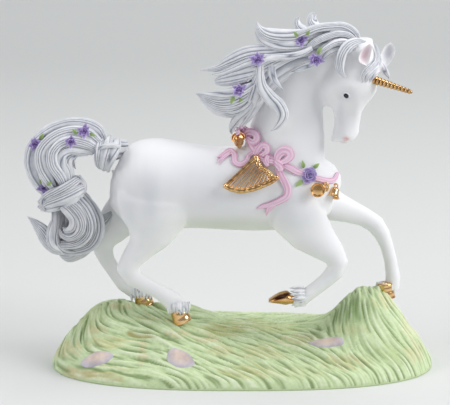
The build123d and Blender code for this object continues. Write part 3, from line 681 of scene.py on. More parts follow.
def ridge_paint(height, shade):
    """Wash deepened by painted shade in the grooves, pale flanks and white ridges as painted highlights, over
    heights from 0 to 1, all scaled by a shade factor.
    """
    low = np.clip(height * 1.7, 0, 1)[..., None]
    high = np.clip((height - 0.55) / 0.45, 0, 1)[..., None] ** 1.3
    paint = groove_wash_and_shade_colour + (wash_colour - groove_wash_and_shade_colour) * low
    return np.minimum((paint + (ridge_highlight_colour - paint) * high) * shade, ridge_highlight_colour)


def laid_depths(table, half_thick, lie):
    """Depths of a lock pressed onto the skin wherever its own depths would bury it."""
    buried = np.minimum(table[:, 3], face_depths(table[:, :2], skin_tree) - lie * half_thick)
    kernel = np.hanning(settle_rows)
    kernel /= kernel.sum()
    return np.convolve(np.pad(buried, settle_rows // 2, mode="edge"), kernel, mode="valid")


def lock(rows, strands, thick, seed, lie=None, shade=1.0, steps=lock_rows, columns=lock_columns):
    """One lock of combed hair, as points, faces and paint.

    rows are (x, y, half width, depth) in picture points and millimetres. The section is an ellipse
    that dips between strands, whose phase runs with arc length and drifts along the lock.
    """
    table = smooth_path(rows, steps)
    half = np.maximum(table[:, 2], thinnest_half) * point_mm
    depth = table[:, 3] if lie is None else laid_depths(table, half * thick, lie)
    path = seen(table[:, :2], depth)
    angle = turns(columns)
    step = np.hypot(np.sin(angle), thick * np.cos(angle))
    arc = (np.cumsum(step) - step[0]) / step.sum()
    along = np.linspace(0, 1, steps)[:, None]
    phase = 2 * max(2, strands) * arc[None, :] + 0.55 * np.sin(4 * math.pi * arc[None, :] + seed)
    phase = phase + strand_drift * np.sin(math.pi * (1.1 * along + 0.37 * seed))
    valley = np.abs(np.sin(math.pi * phase))
    height = (1 - (1 - valley) ** 1.7) * (1 - 0.16 * np.abs(np.cos(2.5 * math.pi * phase)) ** 3)
    uneven = 1 + 0.35 * np.sin(2.4 * phase + 1.7 * seed) * np.sin(3.1 * along + seed)
    radius = 1 - groove_depth * (1 - height) * uneven
    wide = half[:, None] * radius * np.cos(angle)[None, :]
    high = half[:, None] * thick * radius * np.sin(angle)[None, :]
    course = unit(np.gradient(path, axis=0))
    side = unit(np.cross((0.0, -1.0, 0.0), course))
    rise = np.cross(course, side)
    points, faces = swept(path, side, rise, wide, high)
    return points, faces, polar(ridge_paint(np.clip(height * (0.86 + 0.14 * uneven), 0, 1), shade))


# Each lock: (strands across its face, thickness share, lie on the skin, rows), the rows being
# (picture x, picture y, half width in picture points, depth in millimetres) from root to tip
mane_table = {
    "mane_crest": [
        (9, 0.5, None, [(356, 46, 6, -4), (338, 42, 12, -5), (316, 46, 17, -6), (292, 52, 20, -7),
            (270, 66, 21, -8), (254, 88, 17, -9), (246, 108, 12, -9), (238, 124, 7, -8)]),
        (5, 0.9, 0.6, [(359, 43, 2, -9), (355, 33, 3.6, -10), (344, 26.5, 4.2, -11), (330, 26.5, 4.2, -12),
            (318, 28, 4.2, -13), (306, 32, 4, -14), (296, 36, 3, -14)]),
        (4, 0.9, 0.6, [(358, 45, 2, -11), (350, 36.5, 3.4, -12), (339, 34, 3.6, -13), (327, 36.5, 3.6, -14),
            (316, 41.5, 3.4, -15), (307, 48, 2.4, -15)]),
        (4, 0.9, 0.6, [(356, 49, 2, -12), (346, 42.5, 3.6, -14), (335, 43, 3.8, -15), (325, 48, 3.6, -16),
            (318, 54, 2.6, -16), (313, 59, 1.2, -16)]),
        (3, 0.9, 0.6, [(352, 51, 1.6, -13), (342, 49, 3, -14), (332, 51.5, 3.2, -15), (325, 57, 2.6, -15),
            (321, 62, 0.8, -15)]),
        (3, 0.9, 0.6, [(312, 48, 2.4, -16), (301, 53.5, 3, -17), (288, 56.5, 3.4, -17),
            (276, 57.5, 3.4, -17), (266, 60.5, 3, -17), (259, 66, 1.6, -16)]),
        (3, 0.8, 0.6, [(318, 60, 3, -16), (308, 65, 4, -16), (299, 69, 2.8, -15), (290.5, 72, 0.3, -14)]),
        (4, 0.8, 0.7, [(262, 66, 4, -13), (258, 79, 5.5, -14), (253, 94, 6.5, -14), (247, 108, 6, -13),
            (240, 119, 5, -12), (235, 127, 3, -11)]),
        (4, 0.8, 0.7, [(280, 60, 5, -12), (266, 66, 6, -13), (254, 72, 6, -13), (246, 80, 5, -13)]),
    ],
    "mane_lock_upper": [
        (7, 0.62, None, [(322, 33, 4, -10), (306, 36, 7, -11), (290, 38.5, 9.4, -12), (275, 37.5, 9, -12),
            (265, 34.5, 7.5, -12), (259, 29, 4.2, -11), (256.8, 21.5, 0.3, -10)]),
        (4, 0.8, None, [(312, 44, 3, -13), (298, 46, 4.6, -14), (283, 46.5, 5, -14), (270, 44.5, 4.6, -13),
            (260, 39.5, 3, -12), (255, 32, 0.4, -11)]),
    ],
    "mane_lock_second": [
        (8, 0.6, None, [(300, 50, 4, -11), (280, 52, 7, -12), (262, 53, 8.6, -12), (246, 55.5, 9, -12),
            (231, 62, 7.6, -11), (219, 67.5, 4.2, -10), (209, 69.6, 1.9, -10), (200, 70.3, 0.3, -9)]),
        (7, 0.6, None, [(272, 66, 5, -12), (254, 70, 8.6, -13), (239, 75, 9, -13), (228, 79, 7.4, -12),
            (220, 81, 5, -11), (214.5, 81.5, 2.2, -11)]),
        (4, 0.75, None, [(276, 57, 3, -14), (262, 59, 4.6, -15), (247, 64, 5, -15), (233, 70, 4.4, -14),
            (222, 73.5, 3, -12), (212, 74.5, 0.8, -11)]),
    ],
    "mane_lock_third": [
        (12, 0.55, None, [(262, 84, 9, -11), (247, 96, 14, -12), (232, 103, 15, -12),
            (218, 103.5, 11.5, -11), (207, 99.5, 6.5, -10), (200, 95.5, 2.6, -9), (195.6, 93.6, 0.3, -8)]),
        (4, 0.8, None, [(254, 84, 3, -15), (243, 90, 5, -16), (229, 94, 5, -15), (215, 94.6, 3.6, -12),
            (204, 94, 1.4, -10), (198, 93.2, 0.3, -9)]),
    ],
    "mane_lock_fourth": [
        (5, 0.7, None, [(254, 98, 4, -14), (245, 107, 6, -15), (233, 112, 6, -14), (222, 110.5, 4.6, -12),
            (213, 106, 2.6, -11), (206, 101, 0.4, -10)]),
    ],
    "mane_lock_withers": [
        (4, 0.8, 0.5, [(252, 100, 3.6, -14), (246, 109, 5, -15), (238, 117, 5, -15), (233.5, 124, 4, -14),
            (231.5, 130, 2.6, -13), (232, 134, 0.6, -12)]),
    ],
    "mane_lock_hanging": [
        (5, 0.8, 0.8, [(261, 62, 2.6, -15), (260, 74, 4.2, -16), (262, 86, 5.4, -17), (269, 96.5, 6.6, -18),
            (277.5, 104.5, 6.8, -18), (282.5, 113, 6, -18), (281, 121, 4.4, -17), (276, 127.5, 2.4, -16),
            (270.8, 131, 0.3, -15)]),
        (3, 0.8, 0.8, [(274, 57, 1, -8), (271, 67, 4.2, -14), (274, 79, 3.4, -16), (279, 86, 2, -16),
            (284, 92, 0.3, -15)]),
    ],
    "mane_tuft_poll": [
        (4, 0.8, None, [(330, 30, 2.4, -9), (320, 28.6, 4.8, -9), (313, 25, 5.2, -8), (310.4, 19.4, 4, -7),
            (311.8, 14.6, 2.2, -6), (314.4, 12.2, 0.3, -6)]),
        (4, 0.8, None, [(312, 33, 2.4, -9), (303.6, 30, 4.6, -9), (298.6, 26, 4.2, -8),
            (297, 20.6, 2.8, -7), (299.4, 16.4, 0.3, -7)]),
        (3, 0.8, None, [(322, 29, 2, -7), (316.6, 24.6, 3, -7), (314.4, 19, 2.4, -6),
            (316, 14.8, 0.4, -6)]),
    ],
    "forelock_near": [
        (4, 0.7, 1, [(366, 41.5, 0.6, -13), (357.6, 41.4, 3.8, -15), (349, 45.4, 5.8, -17),
            (343, 52.6, 6.2, -18), (340, 61, 5.4, -18), (340, 68.6, 4.2, -17), (342.4, 74.4, 2.6, -17),
            (347, 77.6, 0.4, -17)]),
    ],
    "forelock_front": [
        (3, 0.8, 1, [(374.6, 44, 0.8, -9), (377.4, 52, 2.2, -10), (376.6, 59, 3, -12), (372, 65, 3.2, -13),
            (366.4, 70, 3, -14), (362.6, 76, 2.2, -14), (363, 82.4, 0.4, -13)]),
        (3, 0.8, 1, [(376.4, 50, 0.8, -7), (379.4, 58, 2.2, -9), (377.6, 65, 3, -11), (373, 70.6, 3, -12),
            (368.6, 76, 2.6, -12), (366.6, 82, 0.6, -12)]),
        (2, 0.8, 1, [(379, 60, 0.8, -6), (379.6, 66, 2.2, -8), (376.6, 71.6, 2.6, -9), (372.4, 77, 2, -10),
            (370, 82, 0.5, -10)]),
        (3, 0.9, 1, [(378, 61, 1.6, -4), (381.4, 66, 3.4, -5), (384.4, 71, 3.8, -5), (387.6, 75.6, 2.2, -5),
            (389, 79.6, 0.3, -5)]),
    ],
}
tail_table = {
    "tail_dock": [
        (6, 0.9, None, [(128, 148, 8, 0), (118, 149, 10.5, -1), (106, 150, 12, -2), (98, 149, 11, -2)]),
    ],
    "tail_arch": [
        (14, 0.72, None, [(99, 147, 9, 0), (88, 140, 14, 0), (74, 137.5, 17.5, 0), (58, 142, 20.5, 0),
            (48, 155, 22.5, 0), (49, 171, 22, 0), (56, 184, 19, 0), (62, 192, 14, 0)]),
        (4, 0.8, None, [(104, 137, 3, -3), (98, 128.5, 5, -4), (86, 123.6, 5.6, -4), (71, 122.8, 5.2, -4),
            (56, 127, 5.4, -4), (43, 135, 5.4, -5), (33, 146, 6, -6), (29.6, 160, 5.8, -6),
            (32, 173, 5, -6), (38, 184, 4, -6), (43, 191, 1.6, -5)]),
        (4, 0.8, None, [(100, 143, 4, -8), (89, 134.4, 6, -9), (74, 131, 5.8, -10), (60, 134, 5.8, -11),
            (48, 142, 6, -12), (41, 153, 6.2, -12), (42, 167, 6.2, -12), (48, 179, 5.4, -12),
            (54, 189, 3.4, -10)]),
        (4, 0.8, None, [(97, 149, 4, -9), (85, 143, 5.6, -11), (72, 140.5, 5.6, -12), (60, 144, 5.8, -13),
            (52.5, 153, 5.8, -14), (53, 165, 6, -14), (60, 176, 5.8, -13), (65, 186, 4, -11)]),
    ],
    "tail_curl": [
        (4, 0.8, None, [(93, 152.5, 3, -8), (80, 150, 4.6, -10), (69, 150, 4.8, -12), (62, 155, 5, -13),
            (62, 163.5, 5.2, -13), (66.5, 172, 5, -12), (69, 180, 3.6, -11)]),
        (3, 0.8, None, [(88, 154.6, 1.6, -7), (77, 154.4, 3, -9), (70, 158, 3.6, -10), (69, 165, 3.6, -10),
            (71.4, 171.6, 3.2, -10), (73, 177, 1.8, -9)]),
        (2, 0.8, None, [(76, 156.5, 1.6, -7), (73.4, 160, 2, -7), (74, 165, 1.4, -7),
            (75.6, 169, 0.3, -7)]),
    ],
    "tail_dock_wrap": [
        (3, 0.8, None, [(103, 137, 2.6, 0), (100, 145, 4.6, -9), (98, 155, 5, -13), (98.4, 163.6, 3.6, -8),
            (100, 168, 2, 0)]),
        (3, 0.8, None, [(110, 136.5, 2.6, 0), (108, 145, 5, -10), (104.5, 157, 5.2, -14),
            (103.4, 166.4, 3.6, -8), (104, 170, 2, 0)]),
        (3, 0.8, None, [(118, 139.5, 2.6, 0), (116, 147, 5, -10), (111, 158, 5.2, -14),
            (107.6, 167, 3.6, -8), (108, 171, 2, 0)]),
        (2, 0.8, None, [(96, 150.5, 1.6, -12), (103, 147, 2.6, -14), (112, 145.4, 2.6, -14),
            (120, 147, 1.6, -12)]),
    ],
    "tail_knot_wrap": [
        (4, 0.85, None, [(40, 202.5, 3, -4), (48, 196.5, 5.2, -11), (59, 191.5, 6, -14),
            (69, 186.5, 6, -14), (76, 181.5, 5, -11), (80, 178, 3, -5)]),
        (4, 0.85, None, [(39, 207, 2, -4), (48, 203.5, 4.6, -12), (60, 199.5, 6, -15), (71, 194.5, 6, -15),
            (80, 189, 5, -12), (84.4, 185.4, 2.4, -6)]),
        (3, 0.85, None, [(41, 210, 1.2, -6), (50, 209.5, 3, -12), (61, 205.6, 4, -14), (73, 200.5, 4, -14),
            (82.6, 194, 2.6, -8)]),
        (2, 0.9, None, [(73, 176.5, 1.6, -9), (78.6, 178.6, 3, -10), (83, 183.5, 3.2, -10),
            (84, 190, 2.8, -9), (81, 195, 1.2, -8)]),
        (2, 0.9, None, [(46, 195.5, 1, -12), (42.6, 200, 2.2, -12), (42.4, 206, 2.2, -11),
            (45.5, 211, 1.4, -11)]),
    ],
    "tail_plume": [
        (12, 0.7, None, [(66, 196, 16, 0), (74, 208, 21, 0), (77, 222, 24, 0), (74, 236, 24, 0),
            (66, 246, 19, 0), (58, 250, 11, 0)]),
        (5, 0.8, None, [(80, 193, 3.6, -6), (91, 206, 5.6, -7), (98, 220, 6.4, -8), (98, 234, 6.4, -8),
            (90.6, 245.6, 5.8, -8), (77, 250.6, 4.8, -8), (63, 251.6, 3.6, -8), (51, 250, 1.6, -7)]),
        (4, 0.8, None, [(75, 197, 4.6, -11), (85, 209, 6, -13), (90, 222, 6.4, -14), (88.6, 233.6, 6, -14),
            (80, 242, 5.4, -13), (68, 245, 4.6, -12), (57, 243, 3.4, -11), (51, 236.6, 1.4, -10)]),
        (4, 0.8, None, [(67, 201, 4.6, -13), (77, 211, 6, -15), (81.6, 222, 6, -16), (79, 231.6, 5.4, -16),
            (71, 237, 4.6, -15), (63, 235, 3.6, -13), (59.4, 229, 1.4, -12)]),
        (3, 0.8, None, [(59, 203.5, 3.4, -13), (68, 211.5, 5, -15), (73.4, 220, 5, -16),
            (72, 228, 4.4, -16), (66.4, 230.5, 2.8, -14), (63, 227, 0.8, -12)]),
        (4, 0.8, None, [(54, 206, 3, -8), (55.4, 216, 4.2, -10), (55, 227, 4.6, -11), (54, 237, 5, -12),
            (57, 246.4, 4.6, -12), (66, 251.6, 3, -11), (75, 252.6, 0.8, -10)]),
    ],
    "tail_lock_left": [
        (7, 0.75, None, [(68, 251.5, 3, -8), (56.4, 249, 6, -9), (48.4, 241, 8, -9), (43, 232, 7.4, -8),
            (37, 225, 5, -6), (31.6, 220, 2.4, -4), (27.6, 216.6, 0.3, -2)]),
        (3, 0.8, None, [(62, 253, 1.4, -12), (52.6, 246, 3.8, -14), (49.4, 236, 3.8, -14),
            (51, 226, 3, -12), (53, 219, 1, -10)]),
    ],
    "tail_lock_right": [
        (6, 0.6, None, [(84, 228, 8, 2), (95, 224, 9.5, 3), (104, 220, 7.4, 4), (110, 214.6, 3.4, 5),
            (114, 209.6, 0.4, 6)]),
    ],
}
# Painted shade: locks whose white is painted a little darker where they lie in shadow
hair_shades = {
    "tail_plume": 0.84, "tail_lock_left": 0.92, "tail_lock_right": 0.72, "tail_knot_wrap": 0.9,
    "tail_dock_wrap": 0.92, "tail_dock": 0.9, "mane_lock_fourth": 0.86, "mane_lock_withers": 0.82,
}


def make_hair():
    """Mane and tail: every lock of the tables, in one piece for each casting it stands for."""
    pieces = []
    for node, locks in {**mane_table, **tail_table}.items():
        shade = hair_shades.get(node, 1.0)
        shapes = [
            lock(rows, strands, thick, i + 0.7 * len(node), lie, shade)
            for i, (strands, thick, lie, rows) in enumerate(locks)]
        pieces.append(mesh_piece("hair_" + node, shapes, HAIR, "hair", node))
    return pieces


carrier_tree = BVHTree.FromPolygons(*stacked([skin, *make_hair()]))


# Turf: the meadow and mounds of the casting, combed into strands

# Mounds: place before or behind a hoof, the hoof's place, side, rise over the meadow and spreads in shares
mound_shares = [
    (-0.1, -56.8, 0.02, 1.25, 0.1, 0.3), (-0.02, -34.44, 0.02, 0.85, 0.105, 0.3),
    (-0.06, 83.86, 0.02, 1.65, 0.095, 0.27), (0.03, 83.86, -0.05, 0.55, 0.085, 0.28),
]
turf_along = 410
turf_across = 172
turf_under = 22
turf_pull = 0.97
comb_cell = 0.35
# Grain and reach of the coarse, middle and fine strands, in rounds of blur and millimetres
strand_grains = [(24, 15), (4, 11), (1, 8)]
comb_seed = 11
vent_radius = 3.5
vent_depth = 3.6
# Which way the grass is combed: picture place, then the stroke as it looks there
comb_strokes = [
    (60, 345, -0.3, 1), (75, 325, -0.35, 1), (92, 308, -0.3, 1), (108, 300, 0.1, 1), (122, 300, 0.3, 1),
    (70, 365, 1, 0.25), (95, 375, 1, 0.1), (120, 355, 1, 0.1), (115, 325, 1, 0.25), (140, 325, 1, 0.35),
    (140, 345, 1, 0.1), (160, 318, 1, 0.5), (180, 335, 1, 0.55), (170, 360, 1, 0.35), (150, 380, 1, 0.15),
    (205, 330, 1, 0.4), (215, 350, 1, 0.5), (220, 375, 1, 0.35), (250, 325, 1, 0.15), (265, 340, 1, 0.35),
    (270, 365, 1, 0.55), (260, 385, 1, 0.3), (300, 325, 1, 0.1), (310, 350, 1, 0.4), (315, 375, 1, 0.6),
    (335, 310, -0.35, 1), (350, 300, -0.15, 1), (365, 310, 0.1, 1), (350, 335, 0.2, 1), (378, 300, 0.55, 1),
    (395, 315, 0.8, 1), (410, 330, 0.8, 1), (375, 340, 0.7, 1), (360, 370, 1, 0.7), (395, 360, 1, 0.8),
    (420, 350, 0.7, 1), (340, 385, 1, 0.35), (200, 318, 1, 0.1), (230, 312, 1, 0.05), (300, 316, 1, 0),
]
# Smooth stones in the turf: place, half length, half width, height and slant
stone_table = {
    "stone_1": (-81.75, -29.4, 9.2, 3.4, 1.5, -0.05), "stone_2": (-34.9, -33.3, 8.2, 5.0, 1.8, -0.35),
    "stone_3": (47.5, -17.0, 11.0, 3.4, 1.2, -0.45),
}
# Paint over the grass: picture place, half widths in picture points, colour and strength. The dark green
# patch at 352, 309 is painted shade in the hollow in front of the right-hand mound
turf_paints = [
    (90, 318, 16, 18, (196, 202, 146), 0.5), (64, 350, 16, 10, (222, 208, 160), 0.6),
    (82, 372, 20, 8, (220, 192, 152), 0.55), (105, 374, 26, 7, (196, 184, 126), 0.6),
    (118, 306, 16, 4, (218, 200, 150), 0.6), (141, 334, 15, 4, (168, 158, 96), 0.85),
    (108, 342, 24, 7, (212, 202, 146), 0.6), (96, 330, 12, 5, (218, 200, 160), 0.45),
    (176, 334, 16, 4, (224, 196, 160), 0.5), (208, 338, 14, 5, (222, 196, 160), 0.6),
    (222, 350, 14, 6, (214, 196, 150), 0.5), (222, 330, 26, 7, (196, 190, 124), 0.7),
    (246, 324, 24, 6, (190, 186, 120), 0.6), (248, 372, 30, 8, (198, 190, 128), 0.6),
    (142, 354, 5, 12, (226, 196, 158), 0.5), (150, 318, 18, 4, (210, 206, 150), 0.4),
    (262, 352, 26, 8, (206, 194, 138), 0.5), (300, 372, 30, 8, (206, 208, 158), 0.5),
    (352, 309, 22, 15, (130, 160, 98), 0.75), (386, 300, 12, 10, (232, 224, 176), 0.65),
    (410, 322, 10, 16, (236, 226, 184), 0.55), (395, 352, 26, 14, (186, 202, 146), 0.55),
    (345, 362, 24, 8, (206, 194, 140), 0.6), (300, 340, 22, 6, (220, 200, 158), 0.5),
    (330, 300, 7, 12, (216, 216, 170), 0.5), (415, 352, 10, 12, (224, 204, 164), 0.5),
    (280, 328, 24, 5, (204, 200, 140), 0.5), (352, 330, 16, 6, (196, 190, 132), 0.4),
]
# Over the grass colour, the hollow colour is painted shade and the crown colour a painted highlight, both
# laid by the strand relief
grass_colour = tint(212, 228, 184)
hollow_shade_colour = tint(118, 140, 88)
crown_highlight_colour = tint(240, 246, 222)
underside_colour = tint(236, 236, 232)
strand_contrast = 0.78


def rim_share(x, y):
    """Zero in the middle of the base and one on its outline."""
    u = np.abs(x) / (base_length / 2)
    v = np.abs(y) / (base_width / 2)
    return (u ** base_squareness + v ** base_squareness) ** (1 / base_squareness)


def turf_height(x, y):
    """Height of the grass over the table: rim + (meadow - rim)(1 - r^(4 + 2a)) and bell-shaped mounds."""
    r = np.minimum(rim_share(x, y), 1.0)
    aslant = y / (base_width / 2)
    meadow = meadow_height * (1 + meadow_slope_share * aslant)
    height = rim_height + (meadow - rim_height) * (1 - r ** (4 + 2 * aslant))
    for ahead, hoof_x, aside, rise, spread_x, spread_y in mound_shares:
        dx = (x - hoof_x - ahead * base_length) / (spread_x * base_length)
        dy = (y - aside * base_width) / (spread_y * base_width)
        mound = rise * meadow_height * np.exp(-(dx * dx + dy * dy) ** 1.3)
        height = height + mound * np.maximum(0, 1 - r ** 6)
    return height


def eased(field, rounds):
    """A field blurred by repeated quarter-half-quarter averages."""
    for _ in range(rounds):
        for axis in (0, 1):
            field = 0.5 * field + 0.25 * (np.roll(field, 1, axis) + np.roll(field, -1, axis))
    return field


def sampled(field, x, y):
    """Bilinear values of a plan field at places in millimetres."""
    i = np.clip((x + base_length / 2) / comb_cell, 0, field.shape[0] - 1.001)
    j = np.clip((y + base_width / 2) / comb_cell, 0, field.shape[1] - 1.001)
    a, b = i.astype(int), j.astype(int)
    u, v = i - a, j - b
    low = field[a, b] * (1 - v) + field[a, b + 1] * v
    high = field[a + 1, b] * (1 - v) + field[a + 1, b + 1] * v
    return low * (1 - u) + high * u


def combed(noise, flow, x, y, reach):
    """Noise averaged along the stroke both ways from every place, which draws it out into strands."""
    total = sampled(noise, x, y)
    steps = int(reach / comb_cell)
    for way in (-1, 1):
        at_x, at_y = x.copy(), y.copy()
        for step in range(steps):
            turn_x, turn_y = (sampled(part, at_x, at_y) for part in flow)
            at_x += way * comb_cell * turn_x
            at_y += way * comb_cell * turn_y
            total += sampled(noise, at_x, at_y) * (0.5 + 0.5 * math.cos(math.pi * step / steps))
    total -= eased(total, 60)
    return total / (total.std() + 1e-9)


def one_long(flow_x, flow_y):
    """A plan direction field made one long."""
    size = np.hypot(flow_x, flow_y) + 1e-6
    return flow_x / size, flow_y / size


def comb_flow(x, y):
    """Plan directions of the strokes: what they look like in the picture, turned back onto the ground."""
    height = turf_height(x, y)
    slope_x, slope_y = np.gradient(height, comb_cell)
    across, down = picture_of(np.stack([x, y, height], axis=-1))
    weights, look_x, look_y = (np.zeros_like(x) for _ in range(3))
    for px, py, dx, dy in comb_strokes:
        weight = 1 / (((across - px) ** 2 + (down - py) ** 2) / 120 + 1) ** 2
        look_x += weight * dx / math.hypot(dx, dy)
        look_y += weight * dy / math.hypot(dx, dy)
        weights += weight
    flow_x, look_y = look_x / weights, look_y / weights
    flow_y = (-look_y - lift_cos * slope_x * flow_x) / (lift_sin + lift_cos * np.clip(slope_y, -0.15, None))
    flow_x, flow_y = one_long(flow_x, flow_y)
    behind = np.clip((y - 5) / 15, 0, 1)
    flow_x = flow_x * (1 - behind) + behind
    flow_y = flow_y * (1 - behind) + 0.3 * behind * np.sin(x / 17)
    return one_long(eased(flow_x, 12), eased(flow_y, 12))


def comb_fields():
    """Plan grids of the coarse, middle and fine strands."""
    x, y = np.meshgrid(
        np.arange(-base_length / 2, base_length / 2 + comb_cell, comb_cell),
        np.arange(-base_width / 2, base_width / 2 + comb_cell, comb_cell), indexing="ij")
    flow = comb_flow(x, y)
    seeded = np.random.default_rng(comb_seed)
    fields = []
    for grain, reach in strand_grains:
        noise = eased(seeded.normal(size=x.shape), grain)
        fields.append(combed(noise / noise.std(), flow, x, y, reach))
    return fields


def turf_grid():
    """Plan places over the outline from a square grid, closer on the near side, and their rim shares."""
    u = np.linspace(-1, 1, turf_along)[:, None] * np.ones(turf_across)[None, :]
    t = np.linspace(0, 1, turf_across)
    v = (2 * (0.74 * t + 0.26 * t ** 4) - 1)[None, :] * np.ones(turf_along)[:, None]
    most = np.maximum(np.abs(u), np.abs(v))
    round_off = (np.abs(u) ** base_squareness + np.abs(v) ** base_squareness) ** (1 / base_squareness)
    scale = most / np.maximum(round_off, 1e-9)
    return u * scale * base_length / 2, v * scale * base_width / 2, most


def calm_round_stones(x, y):
    """One in the open grass, near zero where a stone lies."""
    calm = np.ones_like(x)
    for stone_x, stone_y, half_long, half_wide, _, slant in stone_table.values():
        lengthways = (x - stone_x) * math.cos(slant) + (y - stone_y) * math.sin(slant)
        sideways = (y - stone_y) * math.cos(slant) - (x - stone_x) * math.sin(slant)
        away = apart(lengthways, sideways, (0, 0), (half_long + 1.5, half_wide + 1.5))
        calm *= np.clip((away - 0.8) / 0.7, 0.06, 1)
    return calm


def turf_under_rings(edge):
    """Rings from the rim in under the base, with the two firing vents sunk in it."""
    rings = [edge * (inward, inward, level) for inward, level in ((1.001, 0.55), (1.0, 0.2), (0.994, 0.0))]
    for inward in np.linspace(0.97, 0.02, turf_under):
        ring = edge * (inward, inward, 0.0)
        for side in (-1, 1):
            near = np.hypot(ring[:, 0] - side * base_length / 4, ring[:, 1])
            ring[:, 2] += vent_depth * np.clip((vent_radius + 0.4 - near) / 0.8, 0, 1)
        rings.append(ring)
    return rings


def turf_paint(points, relief, streak):
    """Grass paint: brushed patches, painted shade in the hollows and painted highlights on the crowns."""
    across, down = picture_of(points)
    paint = np.tile(grass_colour, (len(points), 1))
    for px, py, wide, high, colour, amount in turf_paints:
        far = apart(across, down, (px, py), (wide, high))
        blend = amount * np.clip(1.15 - far + 0.6 * streak, 0, 1)[:, None]
        paint = paint * (1 - blend) + tint(*colour) * blend
    hollow = strand_contrast * np.clip(-relief * 0.6 - 0.1, 0, 1)[:, None]
    crown = strand_contrast * np.clip(relief * 0.55 - 0.12, 0, 1)[:, None]
    paint = paint * (1 - hollow) + hollow_shade_colour * hollow
    return paint * (1 - crown) + crown_highlight_colour * crown


def make_turf():
    """The base: a square grid over the outline raised to the combed grass, rolled over and closed flat."""
    x, y, share = turf_grid()
    body, strand, hair = (sampled(field, x * 0.985, y * 0.985) for field in comb_fields())
    crest = 1 - np.abs(np.tanh(1.2 * strand))
    relief = 0.6 * np.tanh(body) + 0.6 * (crest - 0.5) + 0.55 * np.tanh(strand) + 0.3 * hair
    relief = relief * calm_round_stones(x, y)
    edge = np.clip((share - 0.9) / 0.1, 0, 1)
    steep = np.clip(turf_height(x, y) / 12, 0.4, 1)
    height = turf_height(x * turf_pull, y * turf_pull) + relief * steep * (1 - 0.4 * edge)
    height = height * (1 - edge ** 4) + edge ** 4 * np.maximum(1.2, 1.9 + 0.7 * relief)
    top = np.stack([x, y, height], axis=-1).reshape(-1, 3)
    index = np.arange(turf_along * turf_across).reshape(turf_along, turf_across)
    rim = np.concatenate([index[:, 0], index[-1, 1:], index[-2::-1, -1], index[0, -2:0:-1]])
    rings = turf_under_rings(top[rim])
    faces = grid_faces(turf_along, turf_across, closed=False).tolist()
    start, before = len(top), rim
    for _ in rings:
        here = start + np.arange(len(rim))
        faces += np.stack([before, np.roll(before, -1), np.roll(here, -1), here], axis=1).tolist()
        before, start = here, start + len(rim)
    faces += [(a, b, start) for a, b in zip(before, np.roll(before, -1))]
    points = np.vstack([top, *rings, np.zeros((1, 3))])
    rest = np.zeros(len(points) - len(top))
    drift = np.concatenate([(0.25 * body + 0.8 * (crest - 0.5) + 0.7 * strand + 0.8 * hair).ravel(), rest])
    streak = np.concatenate([(0.8 * strand + 0.4 * body).ravel(), rest])
    paint = turf_paint(points, drift, streak)
    paint[len(top) + 3 * len(rim):] = underside_colour
    shell_piece("combed_turf", [(points, faces, paint)], TURF, "turf", "ground_base")


make_turf()


# Ornaments, laid on what the camera sees at each picture place


def spot_on(px, py, tree=carrier_tree):
    """Place and outward normal where a picture place meets a surface, or the nearest that does."""
    for reach in (0, 1, 2, 3, 4.5, 6, 8, 10):
        for turn in turns(12 if reach else 1):
            heading = sight(np.array([[px + reach * math.cos(turn), py + reach * math.sin(turn)]]))[0]
            hit, normal = cast(heading, tree)
            if hit is not None:
                normal = np.array(normal)
                facing = -normal if normal.dot(heading) > 0 else normal
                return seen([(px, py)], hit.y / MM)[0], unit(facing)
    return seen([(px, py)], -12.0)[0], np.array([0.0, -1.0, 0.0])


def runs_on(spots, lift, ease=9):
    """Places over the skin under a smooth run of picture places, with eased depths and normals."""
    found = [spot_on(px, py, skin_tree) for px, py in spots]
    depths = np.array([place[1] for place, _ in found])
    normals = np.array([normal for _, normal in found])
    kernel = np.hanning(ease + 2)[1:-1]
    kernel /= kernel.sum()
    ends = [np.pad(row, ease // 2, mode="edge") for row in (depths, *normals.T)]
    smooth = [np.convolve(row, kernel, mode="valid") for row in ends]
    normals = unit(np.stack(smooth[1:], axis=1))
    return seen(spots, np.minimum(depths, smooth[0])) + normals * lift, normals


def in_surface(angle, normal):
    """A heading in the surface at a bearing, counted from picture-right towards picture-up."""
    aim = np.array([math.cos(angle), 0.0, math.sin(angle)])
    return unit(aim - normal * np.dot(aim, normal))


def ball(centre, radius, colour=(255, 255, 255)):
    """A small painted ball."""
    level = np.linspace(0.08, math.pi - 0.08, 7)[:, None]
    turn = turns(10)[None, :]
    grid = np.stack([
        np.sin(level) * np.cos(turn), -np.cos(level) + 0 * turn, np.sin(level) * np.sin(turn)], axis=-1)
    points, faces = capped(grid * radius + centre)
    return points, faces, np.tile(tint(*colour), (len(points), 1))


# Flowers and leaves

blade_rows = 13
blade_columns = 14
blade_thickness = 0.32
# Rings of petals: count, length, width, tilt and curl
blossom_rings = [(6, 1.08, 0.36, 0.3, 0.15), (5, 0.86, 0.32, 0.62, 0.3), (3, 0.56, 0.24, 1.0, 0.3)]
rose_rings = [
    (6, 1.05, 0.52, 0.12, 0.5), (6, 0.86, 0.46, 0.5, 0.7), (5, 0.66, 0.4, 0.85, 0.7),
    (4, 0.46, 0.3, 1.15, 0.5), (3, 0.3, 0.2, 1.4, 0.3),
]
petal_colours = [tint(92, 66, 134), tint(160, 134, 200), tint(206, 196, 232)]
leaf_colours = [tint(98, 138, 62), tint(182, 206, 138)]
# Blossoms: picture place and radius in millimetres
flower_table = {
    "mane_flower_1": (301, 40.5, 4.9), "mane_flower_2": (316, 59.5, 4.9), "mane_flower_3": (257.6, 59.5, 5.0),
    "mane_flower_4": (239.3, 90, 4.7), "tail_flower_1": (84, 130.6, 4.5), "tail_flower_2": (71.3, 140.6, 4.3),
    "tail_flower_3": (34.8, 143.5, 4.6), "tail_flower_4": (43.8, 188, 4.6),
}
rose_spot = (308.8, 175.2, 4.7)
